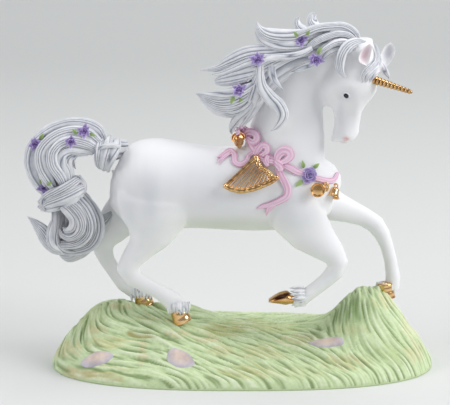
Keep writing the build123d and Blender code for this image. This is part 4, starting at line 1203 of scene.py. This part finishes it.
# Leaves: picture place of the root, bearing as it looks, length in millimetres
leaf_table = {
    "mane_leaves": [(298, 36.5, 128, 3.4), (306.5, 35, 62, 3.2), (308, 42.4, -8, 3.6), (318, 54.5, 66, 4.2),
                    (234, 96.5, -110, 4.0), (240.6, 97, -80, 3.8)],
    "tail_leaves": [(77, 134, 128, 3.6), (89, 133.6, -20, 3.4), (40, 139.5, 60, 3.6), (41.5, 184, 110, 3.4),
                    (47, 185, 40, 3.4)],
    "chest_leaves": [(303.4, 168, 100, 4.0), (313, 168.6, 40, 4.0), (302.4, 180.6, -140, 4.6)],
}


def blade(root, heading, normal, length, half_width, tilt, curl, cup, shape):
    """A petal or leaf: its width is shape(t), it leaves the surface at tilt and bends by curl.

    Gives points, faces and, for the paint, how far along and how near the edge each point lies.
    """
    heading = unit(heading - normal * np.dot(heading, normal))
    side = np.cross(heading, normal)
    share = np.linspace(0, 1, blade_rows)
    angle = tilt + curl * share
    steps = (np.concatenate([[0], np.cumsum(part(angle[:-1]))]) for part in (np.cos, np.sin))
    forward, out = (step * length / (blade_rows - 1) for step in steps)
    turn = turns(blade_columns)
    across = np.cos(turn)[None, :] * np.maximum(shape(share), 0.03)[:, None] * half_width
    face = np.sin(turn)[None, :] * blade_thickness * np.sin(math.pi * (0.08 + 0.87 * share))[:, None]
    rib = -0.35 * blade_thickness * np.exp(-(np.cos(turn) / 0.2) ** 2)[None, :] * (np.sin(turn) > 0)[None, :]
    lift = out[:, None] + (face + rib) * np.cos(angle)[:, None] + cup * across ** 2 / half_width
    run = forward[:, None] - (face + rib) * np.sin(angle)[:, None]
    grid = root + run[..., None] * heading + across[..., None] * side + lift[..., None] * normal
    points, faces = capped(grid)
    edge = np.tile(np.abs(np.cos(turn)), blade_rows)
    return points, faces, np.r_[np.repeat(share, blade_columns), 0, 1], np.r_[edge, 0, 1]


def pointed(share):
    """Width of a pointed petal."""
    return np.sin(math.pi * share ** 0.8) ** 0.75 * (1 - 0.25 * share)


def rounded(share):
    """Width of a broad petal with a round end."""
    return np.sqrt(np.clip(1 - (2 * share ** 0.85 - 1) ** 2, 0, 1)) ** 0.8


def violet(along, edge, deep):
    """Petal paint: dark at the root and along the vein, pale lilac at the edge."""
    dark, middle, pale = petal_colours
    level = np.clip(along * 0.9 + edge * 0.5 - 0.15 - deep, 0, 1)[:, None]
    paint = dark + (middle - dark) * np.clip(level * 2, 0, 1)
    return paint + (pale - paint) * np.clip(level * 2 - 1, 0, 1)


def green(along, edge):
    """Leaf paint: moss at the vein and root, yellow-green at the edge."""
    dark, pale = leaf_colours
    return dark + (pale - dark) * np.clip(0.2 + 0.5 * edge + 0.35 * along, 0, 1)[:, None]


def make_blossom(node, px, py, radius, seed, rings, shape, cup, deepening, heart_lift):
    """Rings of petals round a small dark heart, turned halfway between the surface and the viewer."""
    place, normal = spot_on(px, py)
    normal = unit(normal + np.array([0, -1.3, 0.25]))
    place = place + normal * 0.3
    chance = np.random.default_rng(seed)
    parts = []
    for row, (count, reach, width, tilt, curl) in enumerate(rings):
        for i in range(count):
            bearing = 2 * math.pi * (i + 0.5 * row + 0.16 * chance.normal()) / count + seed
            length = reach * radius * (1 + 0.1 * chance.normal())
            points, faces, along, edge = blade(
                place - normal * 0.2, in_surface(bearing, normal), normal, length, width * radius,
                tilt + 0.08 * chance.normal(), curl, cup, shape)
            parts.append((points, faces, violet(along, edge, deepening * row)))
    parts.append(ball(place + normal * heart_lift * radius, 0.14 * radius, (86, 60, 120)))
    shell_piece("petals_" + node, parts, PETALS, "petals", node)


def make_leaves(node, leaves):
    """A group of leaves, each at its bearing."""
    parts = []
    for px, py, bearing, length in leaves:
        place, normal = spot_on(px, py)
        normal = unit(normal + np.array([0, -0.8, 0.1]))
        points, faces, along, edge = blade(
            place + normal * 0.5, in_surface(math.radians(bearing), normal), normal,
            length * 1.15, 0.33 * length, 0.35, -0.5, 0.25, pointed)
        parts.append((points, faces, green(along, edge)))
    shell_piece("blades_" + node, parts, LEAVES, "leaves", node)


for order, (node, (px, py, radius)) in enumerate(flower_table.items()):
    make_blossom(node, px, py, radius * 0.9, 3 + 2 * order, blossom_rings, pointed, -0.25, 0.13, 0.45)
make_blossom("chest_rose", *rose_spot, 40, rose_rings, rounded, 0.5, 0.078, 0.2)
for node, leaves in leaf_table.items():
    make_leaves(node, leaves)


# Ribbon

strip_rows = 60
strip_columns = 26
strip_thickness = 0.46
# Ribbon paint: painted shade, the ribbon's own rosy pink, and painted highlight
ribbon_shade_tone_highlight_colours = [tint(214, 154, 188), tint(240, 200, 224), tint(252, 230, 242)]
# Ribbon runs: picture places, half widths in picture points, height over the body in millimetres
ribbon_table = {
    "ribbon_bow_withers": [
        ([(251, 139), (245, 135.6), (239, 133.6), (237.4, 130.6), (243, 128.6), (249, 131), (252, 137.6)],
         [1.6, 2.4, 2.8, 2.8, 3, 2.8, 2], 0.9),
        ([(248, 136), (252.6, 132.4), (257.6, 134), (259, 139), (255.4, 142.4), (250, 139)],
         [2.4, 3.4, 3.8, 3.6, 3.2, 2.4], 2.6),
        ([(247, 143), (247.4, 137), (248, 131)], [2.4, 2.8, 2.4], 3.4),
    ],
    "ribbon_swag": [
        ([(250, 139), (253, 146), (258, 152), (265, 156), (273, 159.5), (281, 164)],
         [3, 3.6, 4, 4, 3.8, 3.4], 0.9),
        ([(256, 155), (259.4, 149.4), (263.6, 145.4), (267.6, 146.8), (267.6, 151.6), (263, 155.6)],
         [2.4, 3.4, 3.4, 3.2, 3, 2.2], 1.8),
        ([(284, 165), (290, 168), (297, 172), (304, 174)], [2.8, 3.4, 3.2, 2.6], 0.9),
    ],
    "ribbon_bow_side": [
        ([(277, 163), (278, 156), (282, 150.8), (287.6, 151), (289.6, 155.6), (286, 160), (279, 163)],
         [2.4, 3.6, 4.4, 4.6, 4.4, 3.4, 2.2], 1.9),
        ([(259, 158.5), (266, 160.5), (273, 161.6), (279, 164)], [2.2, 2.8, 2.8, 2.4], 1.5),
        ([(269, 155), (267, 161), (268.6, 166)], [2, 2.8, 1.8], 2.2),
        ([(276, 160.5), (280, 166.5), (280, 171)], [2.8, 4, 2.6], 2.4),
    ],
    "ribbon_tail_back": [
        ([(254, 152), (248.6, 157), (246, 162.4), (240, 165), (235, 162.4), (234.2, 155), (230, 151.6),
         (224, 155), (217.4, 158.4)], [2.4, 2.6, 2.8, 3, 3, 3, 2.8, 2.4, 0.4], 0.8),
        ([(230, 154), (223, 158.4), (217.6, 164.4)], [2, 2, 0.3], 0.9),
    ],
    "ribbon_tail_low": [
        ([(277.6, 168), (280.4, 175), (284.4, 182), (287.6, 189), (286.4, 196), (279.4, 200.6),
         (270.6, 204), (262, 206), (256.4, 208.2)], [3, 3.4, 3.6, 3.6, 3.6, 3.4, 3, 2.2, 0.4], 0.8),
        ([(274, 203.4), (268.6, 208.4), (266.2, 214.6)], [2.6, 2.8, 0.4], 0.9),
    ],
    "ribbon_breast": [
        ([(304, 174), (312, 177.6), (320, 179.6), (328, 181), (333.6, 179.4), (336.6, 173)],
         [2.2, 2.6, 2.8, 2.8, 2.6, 1.6], 0.8),
    ],
}


def strip(spots, half_points, lift, seed):
    """A run of modelled ribbon: a flat rounded band with two soft pleats, laid along picture places, painted
    deeper in the folds and towards its edges as painted shade and paler on the pleat crests as painted
    highlight.
    """
    table = smooth_path([(px, py, half) for (px, py), half in zip(spots, half_points)], strip_rows)
    places, normals = runs_on(table[:, :2], lift)
    course = unit(np.gradient(places, axis=0))
    normals = normals + np.array([0, -0.9, 0.1])
    side = unit(np.cross(course, normals))
    up = np.cross(side, course)
    up *= np.sign(np.sum(up * normals, axis=1, keepdims=True))
    turn = turns(strip_columns)
    wide = np.sign(np.cos(turn)) * np.abs(np.cos(turn)) ** 0.7
    thick = np.sign(np.sin(turn)) * np.abs(np.sin(turn)) ** 0.7
    share = np.linspace(0, 1, strip_rows)[:, None]
    pleat = 0.22 * np.cos(2.2 * math.pi * wide[None, :] + 3.0 * np.sin(3 * share + seed)) * (np.sin(turn) > 0)
    across = (table[:, 2] * point_mm)[:, None] * wide[None, :]
    rise = strip_thickness * thick[None, :] + pleat * strip_thickness
    points, faces = swept(places, side, up, across, rise)
    deep, rosy, pale = ribbon_shade_tone_highlight_colours
    level = np.clip(0.55 + 1.6 * pleat - 0.25 * np.abs(wide)[None, :] ** 4, 0, 1)[..., None]
    paint = np.where(level < 0.5, deep + (rosy - deep) * level * 2, rosy + (pale - rosy) * (level * 2 - 1))
    return points, faces, polar(paint)


for node, runs in ribbon_table.items():
    strips = [strip(*run, seed=i + len(node)) for i, run in enumerate(runs)]
    shell_piece("strip_" + node, strips, RIBBON, "ribbon", node)


# Gilding: harp, bells, horn and hooves

harp_corners = [(256, 157.5), (225.5, 186), (276.5, 177.6)]
harp_box = [
    (225, 186), (232, 189.2), (240, 190.6), (248, 190), (257, 187.6), (266, 184), (273, 180.6),
    (276.8, 177.4)]
harp_neck = [(255.6, 157), (257.4, 163), (260.4, 168), (264.4, 170), (268.2, 173), (271.4, 176.6), (276, 178)]
harp_pillar = [(225.6, 186), (233, 179), (240.6, 172), (248, 164.6), (255.6, 157.6)]
harp_rows = 70
harp_lift = 3.2
string_count = 10
string_radius = 0.42
# Beaded bars of the harp: line, shift in picture points, rows, lift, radius, bead height and count
harp_bars = [
    (harp_pillar, (0, 0), 60, harp_lift, 1.0, 0.16, 5),
    (harp_box, (0, 0), harp_rows, harp_lift, 1.15, 0.2, 11),
    (harp_neck, (0, 0), harp_rows, harp_lift, 1.1, 0.25, 7),
    (harp_box, (0, -1.9), harp_rows, 3.6, 0.5, 0.3, 24),
    (harp_box, (0, 1.6), harp_rows, 3.0, 0.55, 0.2, 17),
    (harp_neck, (1.6, -1.0), harp_rows, 3.7, 0.5, 0.35, 16),
]
# Bells: radius and height pairs from the crown, out over the lip and back up inside
bell_wall = [(0.3, 0.0), (0.9, 0.05), (1.9, 0.35), (2.5, 1.4), (2.62, 3.0), (2.8, 4.2), (3.3, 5.2)]
bell_outline = bell_wall + [
    (3.7, 5.7), (3.62, 5.9), (3.2, 5.75), (2.6, 4.7), (2.2, 3.0), (1.7, 2.0), (0.3, 1.6)]
shallow_bell_outline = bell_wall + [
    (3.75, 5.7), (3.7, 6.0), (3.3, 6.0), (2.95, 5.4), (2.6, 5.1), (1.6, 5.3), (0.3, 5.4)]
# Bells: place in the picture, lift off the body, heading, scale and outline
bell_table = {
    "bell_withers": ((239.4, 148.4), 2.4, (-0.1, -0.6, 0.8), 1.05, shallow_bell_outline),
    "bell_chest_near": ((318.0, 188.4), 0.8, (-0.12, -1.0, 0.12), 1.08, shallow_bell_outline),
    "bell_chest_front": ((334.4, 187.4), 0.6, (-0.25, -0.5, -0.9), 1.0, bell_outline),
}
bell_link_spot = (326.0, 186.2)
# Half width, half height and thickness of the link beside the near bell
bell_links = [(1.25, 2.3, 0.6), (0.5, 1.2, 0.35)]
horn_ends = [(370.0, 78.6), (412.0, 92.4)]
horn_radius = 2.5
horn_rounds = 12
# Standing hooves: place of the sole, and lean
hoof_table = {
    "hoof_hindleg_near": ((-34.44, -11.5), 0.32), "hoof_hindleg_far": ((-56.8, 11.5), 0.25),
    "hoof_foreleg_far": ((82.4, 8.5), 0.1),
}
hoof_height = 10.0
hoof_half = 5.4
hoof_sink = 0.9
# The raised hoof from coronet to toe: picture place, half height in picture points, half width in millimetres
raised_hoof_rows = [
    (293.5, 299.0, 4.6, 3.6), (290.0, 298.4, 5.6, 4.3), (286.0, 297.4, 7.6, 4.7), (280.0, 297.6, 6.2, 4.8),
    (273.0, 299.2, 3.4, 4.2), (268.6, 300.4, 1.2, 2.6),
]
raised_hoof_depth = -13.0
sole_spot = (281.5, 296.6)
sole_shade_colour = tint(96, 60, 44)


def rod(spots, radius, bead=0.0, beads=0, columns=14):
    """A round bar through places in millimetres, its radius swelling in beads, painted darker between them as
    painted shade.
    """
    rows = len(spots)
    share = np.linspace(0, 1, rows)
    wave = np.abs(np.sin(math.pi * beads * share))
    radius = radius * (1 + bead * wave) * np.clip(np.minimum(share, 1 - share) * rows / 2 + 0.35, 0, 1)
    course = unit(np.gradient(spots, axis=0))
    hint = np.array([0.15, -1, 0.25])
    side = unit(hint - course * np.sum(hint * course, axis=1, keepdims=True))
    turn = turns(columns)
    ring = np.cos(turn)[:, None] * side[:, None] + np.sin(turn)[:, None] * np.cross(course, side)[:, None]
    points, faces = capped(spots[:, None] + radius[:, None, None] * ring)
    # Painted shade in the valleys between the beads
    shade = 0.35 + 0.65 * wave ** 0.6 if beads else np.ones(rows)
    return points, faces, polar(np.repeat(shade, columns)[:, None] * np.ones(3))


def hoop(centre, wide, high, thick, rows):
    """A ring that stands across the view."""
    turn = np.linspace(0, 2 * math.pi, rows)
    return rod(centre + np.stack([wide * np.cos(turn), 0 * turn, high * np.sin(turn)], axis=1), thick)


def spun(places, radius, axis, hint):
    """A round form: radii by row, and by column if they differ, about places on an axis."""
    side = unit(np.cross(axis, hint))
    turn = turns(radius.shape[1])[:, None]
    ring = np.cos(turn) * side + np.sin(turn) * np.cross(axis, side)
    return capped(places[:, None] + radius[..., None] * ring[None])


def harp_line(spots, rows, lift):
    """A line on the harp's plane, which stands just off the flank."""
    table = smooth_path(spots, rows)
    plane = [spot_on(px, py, skin_tree)[0][1] for px, py in harp_corners]
    slopes = np.linalg.lstsq(np.c_[harp_corners, np.ones(3)], plane, rcond=None)[0]
    return seen(table, np.c_[table, np.ones(rows)] @ slopes - lift)


def make_harp():
    """Pillar, wavy neck and beaded sound box, with strings from neck to box."""
    parts = []
    for line, (over, lower), rows, lift, radius, bead, beads in harp_bars:
        shifted = harp_line([(x + over, y + lower) for x, y in line], rows, lift)
        parts.append(rod(shifted, radius, bead, beads))
    box, neck = harp_line(harp_box, harp_rows, harp_lift), harp_line(harp_neck, harp_rows, harp_lift)
    for corner in harp_corners:
        parts.append(ball(harp_line([corner, corner], 2, 3.4)[0], 1.55))
    for share in (0.2, 0.42, 0.64):
        parts.append(ball(box[int(share * 69)] + (0, -1.0, 0), 0.75))
    shell_piece("gilt_harp", parts, GOLD, "gilding", "harp_frame")
    strings = []
    for i in range(string_count):
        share = 0.06 + 0.84 * (i + 0.5) / string_count
        low, high = box[int(share * 66)], neck[int(share * 62)]
        strings.append(rod(low + (high - low) * np.linspace(0, 1, 8)[:, None], string_radius, columns=10))
    shell_piece("gilt_strings", strings, GOLD, "gilding", "harp_strings")


def make_bells():
    """Three flared bells with a clapper and a hanging ring."""
    for node, ((px, py), lift, heading, scale, outline) in bell_table.items():
        place, normal = spot_on(px, py, skin_tree)
        heading = unit(heading)
        crown = place + normal * lift
        outline = smooth_path(scale * np.array(outline), 48)
        radius = outline[:, :1] * np.ones(40)
        points, faces = spun(crown + outline[:, 1:] * heading, radius, heading, (0.3, 1, 0.2))
        parts = [(points, faces, np.ones_like(points))]
        if node == "bell_chest_near":
            link = spot_on(*bell_link_spot, skin_tree)[0] + np.array([0, -1.6, 0])
            parts += [hoop(link, wide, high, thick, 40) for wide, high, thick in bell_links]
        parts.append(ball(crown + heading * 3.2 * scale, 1.0 * scale))
        parts.append(hoop(crown - heading * 0.9, 1.2, 1.2, 0.42, 30))
        shell_piece("gilt_" + node, parts, GOLD, "gilding", node)


def horn_depths():
    """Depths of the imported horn's root and tip."""
    places = corners_of(nodes["horn"])
    away = places - corners_of(nodes["head"]).mean(0)
    order = np.argsort(np.linalg.norm(away, axis=1))
    count = max(12, len(order) // 40)
    near, far = places[order[:count]].mean(0), places[order[-count:]].mean(0)
    return near[1], near[1] + (far[1] - near[1]) * 1.02


def make_horn():
    """Horn: a blunt cone whose twelve rounds wind up it like cord, painted dark between the rounds as painted
    shade.
    """
    root, tip = seen(horn_ends, np.array(horn_depths()))
    axis = unit(tip - root)
    share = np.linspace(0, 1, 240)
    base = horn_radius * (1 - 0.52 * share) * np.sqrt(np.clip((1.02 - share) / 0.06, 0.02, 1))
    wind = np.abs(np.sin(math.pi * horn_rounds * share[:, None] + turns(36)[None, :] / 2))
    radius = base[:, None] * (0.66 + 0.4 * wind ** 0.7)
    points, faces = spun(root + (tip - root) * share[:, None], radius, axis, (0, 0, 1))
    # Painted shade: the gilding darkened in the grooves between the rounds
    shade = np.vstack([(0.16 + 0.84 * wind ** 0.9).reshape(-1, 1) * np.ones(3), np.ones((2, 3))])
    shell_piece("gilt_horn", [(points, faces, shade)], GOLD, "gilding", "horn")


def hoof_shell(sole, top, seed):
    """A hoof: oval wall flaring to the sole, faintly ringed, with a rolled coronet on top."""
    share = np.linspace(0, 1, 44)
    axis = sole - top
    forward = unit(np.array([1.0, 0, 0]) - unit(axis) * unit(axis)[0])
    side = np.cross(unit(axis), forward)
    turn = turns(44)
    wall = hoof_half * (0.74 + 0.3 * share ** 0.8) * (1 + 0.018 * np.sin(19 * share + seed))
    wall = wall * np.sqrt(np.clip(share / 0.05, 0.05, 1)) * np.sqrt(np.clip((1 - share) / 0.06, 0.1, 1))
    wall = wall * (1 + 0.12 * np.exp(-((share - 0.12) / 0.07) ** 2))
    egg = (1 + 0.12 * np.cos(turn)) * (1 - 0.1 * np.exp(-((turn - math.pi) / 0.25) ** 2))
    ring = np.cos(turn)[:, None] * forward + 0.9 * np.sin(turn)[:, None] * side
    grid = top + axis * share[:, None, None] + (wall[:, None] * egg[None, :])[..., None] * ring[None]
    points, faces = capped(grid)
    return points, faces, np.ones_like(points)


def raised_hoof():
    """The raised hoof: a wedge that narrows to the toe, its hollow sole turned up to the light and painted
    dark as painted shade.
    """
    rows = 60
    table = smooth_path(raised_hoof_rows, rows)
    path = seen(table[:, :2], np.full(rows, raised_hoof_depth))
    turn = turns(48)
    share = np.linspace(0, 1, rows)[:, None]
    cup = np.exp(-((share - 0.52) / 0.2) ** 2) * np.clip(np.sin(turn - 0.45), 0, 1)[None, :] ** 3
    high = (table[:, 2] * point_mm)[:, None] * np.sin(turn)[None, :] * (1 - 0.5 * cup)
    wide = table[:, 3][:, None] * np.cos(turn)[None, :]
    points, faces = swept(path, np.array([[0, 1, 0]]), np.array([[0.1, -0.1, 1]]), wide, high)
    across, down = picture_of(points)
    over, lower = across - sole_spot[0], down - sole_spot[1]
    far = ((over + 0.5 * lower) / 7.5) ** 2 + ((lower + 0.3 * over) / 2.6) ** 2
    # Painted shade in the hollow sole
    dark = np.clip(1.5 - far, 0, 1)[:, None] * (points[:, 1:2] < raised_hoof_depth + 1)
    return points, faces, 1 - dark * (1 - sole_shade_colour)


def make_hooves():
    """Three standing hooves on the grass and the raised one."""
    for i, (node, ((x, y), lean)) in enumerate(hoof_table.items()):
        ground = float(turf_height(np.array([x]), np.array([y]))[0])
        sole = np.array([x, y, ground - hoof_sink])
        top = sole + np.array([-lean * hoof_height, 0, hoof_height])
        shell_piece("gilt_" + node, [hoof_shell(sole, top, i)], GOLD, "gilding", node)
    shell_piece("gilt_hoof_foreleg_near", [raised_hoof()], GOLD, "gilding", "hoof_foreleg_near")


make_harp()
make_bells()
make_horn()
make_hooves()


# Feathers over the hooves: short locks of white hair

tuft_half = 2.1
tuft_shade = 1.12
# Skirts of feathers: picture places of the skirt's two top corners, fall, count and depths
feather_table = {
    "feathers_hind_near": ((168.5, 303), (188.5, 301.5), (0.5, 11.5), 8, -13.5, -17.0),
    "feathers_hind_far": ((131.5, 288), (149.5, 286.5), (0.5, 12.5), 7, 9.0, 6.0),
    "feathers_fore_far": ((377.5, 282), (394, 284), (0.0, 11.0), 7, 9.0, 6.0),
    "feathers_fore_near": ((304, 287.5), (306, 304.5), (-14.5, 0.5), 6, -13.0, -16.5),
}


def tuft(px, py, depth, dx, dy, seed):
    """A short curved lock that hangs over a hoof."""
    rows = [
        (px, py, tuft_half * 0.7, depth), (px + 0.35 * dx, py + 0.4 * dy, tuft_half, depth - 0.6),
        (px + 0.75 * dx, py + 0.8 * dy, tuft_half * 0.6, depth - 0.9), (px + dx, py + dy, 0.3, depth - 0.6)]
    return lock(rows, 2, 0.7, seed, shade=tuft_shade, steps=tuft_rows, columns=tuft_columns)


for order, (name, (start, end, (dx, dy), count, side_depth, front_depth)) in enumerate(feather_table.items()):
    tufts = []
    for k in range(count):
        place = k / (count - 1)
        px, py = (a + (b - a) * place for a, b in zip(start, end))
        depth = side_depth + (front_depth - side_depth) * math.sin(math.pi * place)
        stretch = 1 + 0.12 * math.sin(5.3 * k + order) if abs(dy) > 5 else 1
        tufts.append(tuft(px, py, depth, dx, dy * stretch, order + 3 * k))
    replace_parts(mesh_piece(name, tufts, HAIR, "hair"))


# Ears

ear_rows = 36
ear_columns = 40
# Left edge and right edge in the picture from root to tip, depths of root and tip, and the hollow's colour:
# pink on the near ear, and grey painted shade on the far ear
ear_table = {
    "ear_near": ([(358.6, 62), (358.8, 56), (362.8, 48.6), (370.2, 43)],
                 [(366.5, 66.5), (369.8, 58.6), (371.8, 49), (370.2, 43)], (-17.5, -15.5), (240, 208, 216)),
    "ear_far": ([(379.6, 60), (381, 53), (384.6, 46.6), (390.6, 42.4)],
                [(385, 69), (392.6, 58.6), (395, 49.4), (390.6, 42.4)], (-2, 0), (224, 224, 230)),
}


def make_ear(node, left, right, depths, hollow_tint):
    """A leaf-shaped ear: outer shell and a tinted hollow, spanned between its two edges in the picture."""
    share = np.linspace(0, 1, ear_rows)
    left, right = smooth_path(left, ear_rows), smooth_path(right, ear_rows)
    depth = depths[0] + (depths[1] - depths[0]) * share
    path = seen((left + right) / 2, depth)
    half = np.linalg.norm(right - left, axis=1)[:, None] / 2 * point_mm
    side = unit(seen(right, depth) - seen(left, depth))
    face = np.cross(side, unit(np.gradient(path, axis=0)))
    face *= -np.sign(face[:, 1:2] + TINY)
    turn = turns(ear_columns)[None, :]
    front = np.sin(turn) > 0
    hollow = np.sin(math.pi * np.clip(share * 1.04, 0, 1))[:, None] ** 0.6
    bowl = np.where(front, 1 - 1.75 * (1 - np.cos(turn) ** 4) * hollow, -1.0)
    rise = half * 0.62 * np.abs(np.sin(turn)) * bowl
    points, faces = swept(path, side, face, half * np.cos(turn), rise)
    blush = (front * (1 - np.cos(turn) ** 2) ** 1.2 * hollow)[..., None]
    paint = 1 + (tint(*hollow_tint) - 1) * 0.85 * blush
    shell_piece("bisque_" + node, [(points, faces, polar(paint))], BISQUE, "bisque", node)


for node, row in ear_table.items():
    make_ear(node, *row)


# Face: eye and nostril

eye_spot = (346.3, 95.7)
eye_slant = math.radians(-38)
eye_wide = 1.75
eye_high = 1.5
eye_deep = 0.75
eye_colour = tint(34, 36, 62)
# Lids: side, first and last share of half a turn, thickness
lid_table = [(1.0, 0.05, 0.95, 0.42), (-0.95, 0.1, 0.9, 0.3)]
nostril_spot = (346.4, 138.6)
nostril_colour = tint(246, 216, 214)


def make_eye():
    """Dark navy eye under a lid: a lens on the skin with a rolled lid above and below."""
    place, normal = spot_on(*eye_spot, skin_tree)
    normal = unit(normal + np.array([0, -0.5, 0]))
    side = in_surface(eye_slant, normal)
    up = np.cross(side, normal)
    up *= np.sign(up[2])
    level = np.linspace(0.05, math.pi / 2 * 1.15, 16)[:, None, None]
    turn = turns(36)[None, :, None]
    ring = np.cos(turn) * side * eye_wide + np.sin(turn) * up * eye_high
    points, faces = capped(place - normal * 0.3 + np.sin(level) * ring + np.cos(level) * normal * eye_deep)
    shell_piece("painted_eye", [(points, faces, np.tile(eye_colour, (len(points), 1)))], EYE, "bisque")
    lids = []
    for way, low, high, thick in lid_table:
        arc = np.linspace(low, high, 30)[:, None] * math.pi
        line = np.cos(arc) * side * eye_wide * 1.16 + np.sin(arc) * up * eye_high * 1.12 * way
        lids.append(rod(place + normal * 0.12 + line, thick, columns=12))
    shell_piece("modelled_lids", lids, BISQUE, "bisque")


def make_nostril():
    """A rolled rosy rim, open at the lower side."""
    place, normal = spot_on(*nostril_spot, skin_tree)
    arc = np.linspace(0.1, 1.75, 26)[:, None] * math.pi
    side = in_surface(0.3, normal)
    line = place - normal * 0.1 + np.cos(arc) * side * 1.25 + np.sin(arc) * np.cross(side, normal) * 0.85
    points, faces, _ = rod(line, 0.34, columns=10)
    paint = np.tile(nostril_colour, (len(points), 1))
    shell_piece("rosy_nostril", [(points, faces, paint)], BISQUE, "bisque")


make_eye()
make_nostril()


# Stones

stone_edge_colour = tint(208, 204, 216)
stone_heart_colour = tint(234, 214, 198)


def make_stones():
    """Smooth stones showing through the turf: flattened, slightly wavy lenses."""
    level = np.linspace(0.04, math.pi - 0.04, 26)[:, None]
    turn = turns(60)[None, :]
    ring = np.sin(level) ** 0.8
    for i, (node, (x, y, half_long, half_wide, half_high, slant)) in enumerate(stone_table.items()):
        wave = 1 + 0.04 * np.sin(3 * turn + i) + 0.03 * np.sin(5 * turn + 2 * i)
        east = ring * np.cos(turn) * half_long * wave
        north = ring * np.sin(turn) * half_wide * wave
        at_x = x + east * math.cos(slant) - north * math.sin(slant)
        at_y = y + east * math.sin(slant) + north * math.cos(slant)
        ground = turf_height(at_x * turf_pull, at_y * turf_pull)
        height = ground + np.cos(level) * half_high + 0.1 - 0.4 * ring
        points, faces = capped(np.stack([at_x, at_y, height], axis=-1))
        heart = (np.clip(1.1 - ring ** 2 * 1.1, 0, 1) + 0 * turn)[..., None]
        paint = polar(stone_edge_colour + (stone_heart_colour - stone_edge_colour) * heart)
        shell_piece("smooth_" + node, [(points, faces, paint)], STONE, "stone", node)


make_stones()
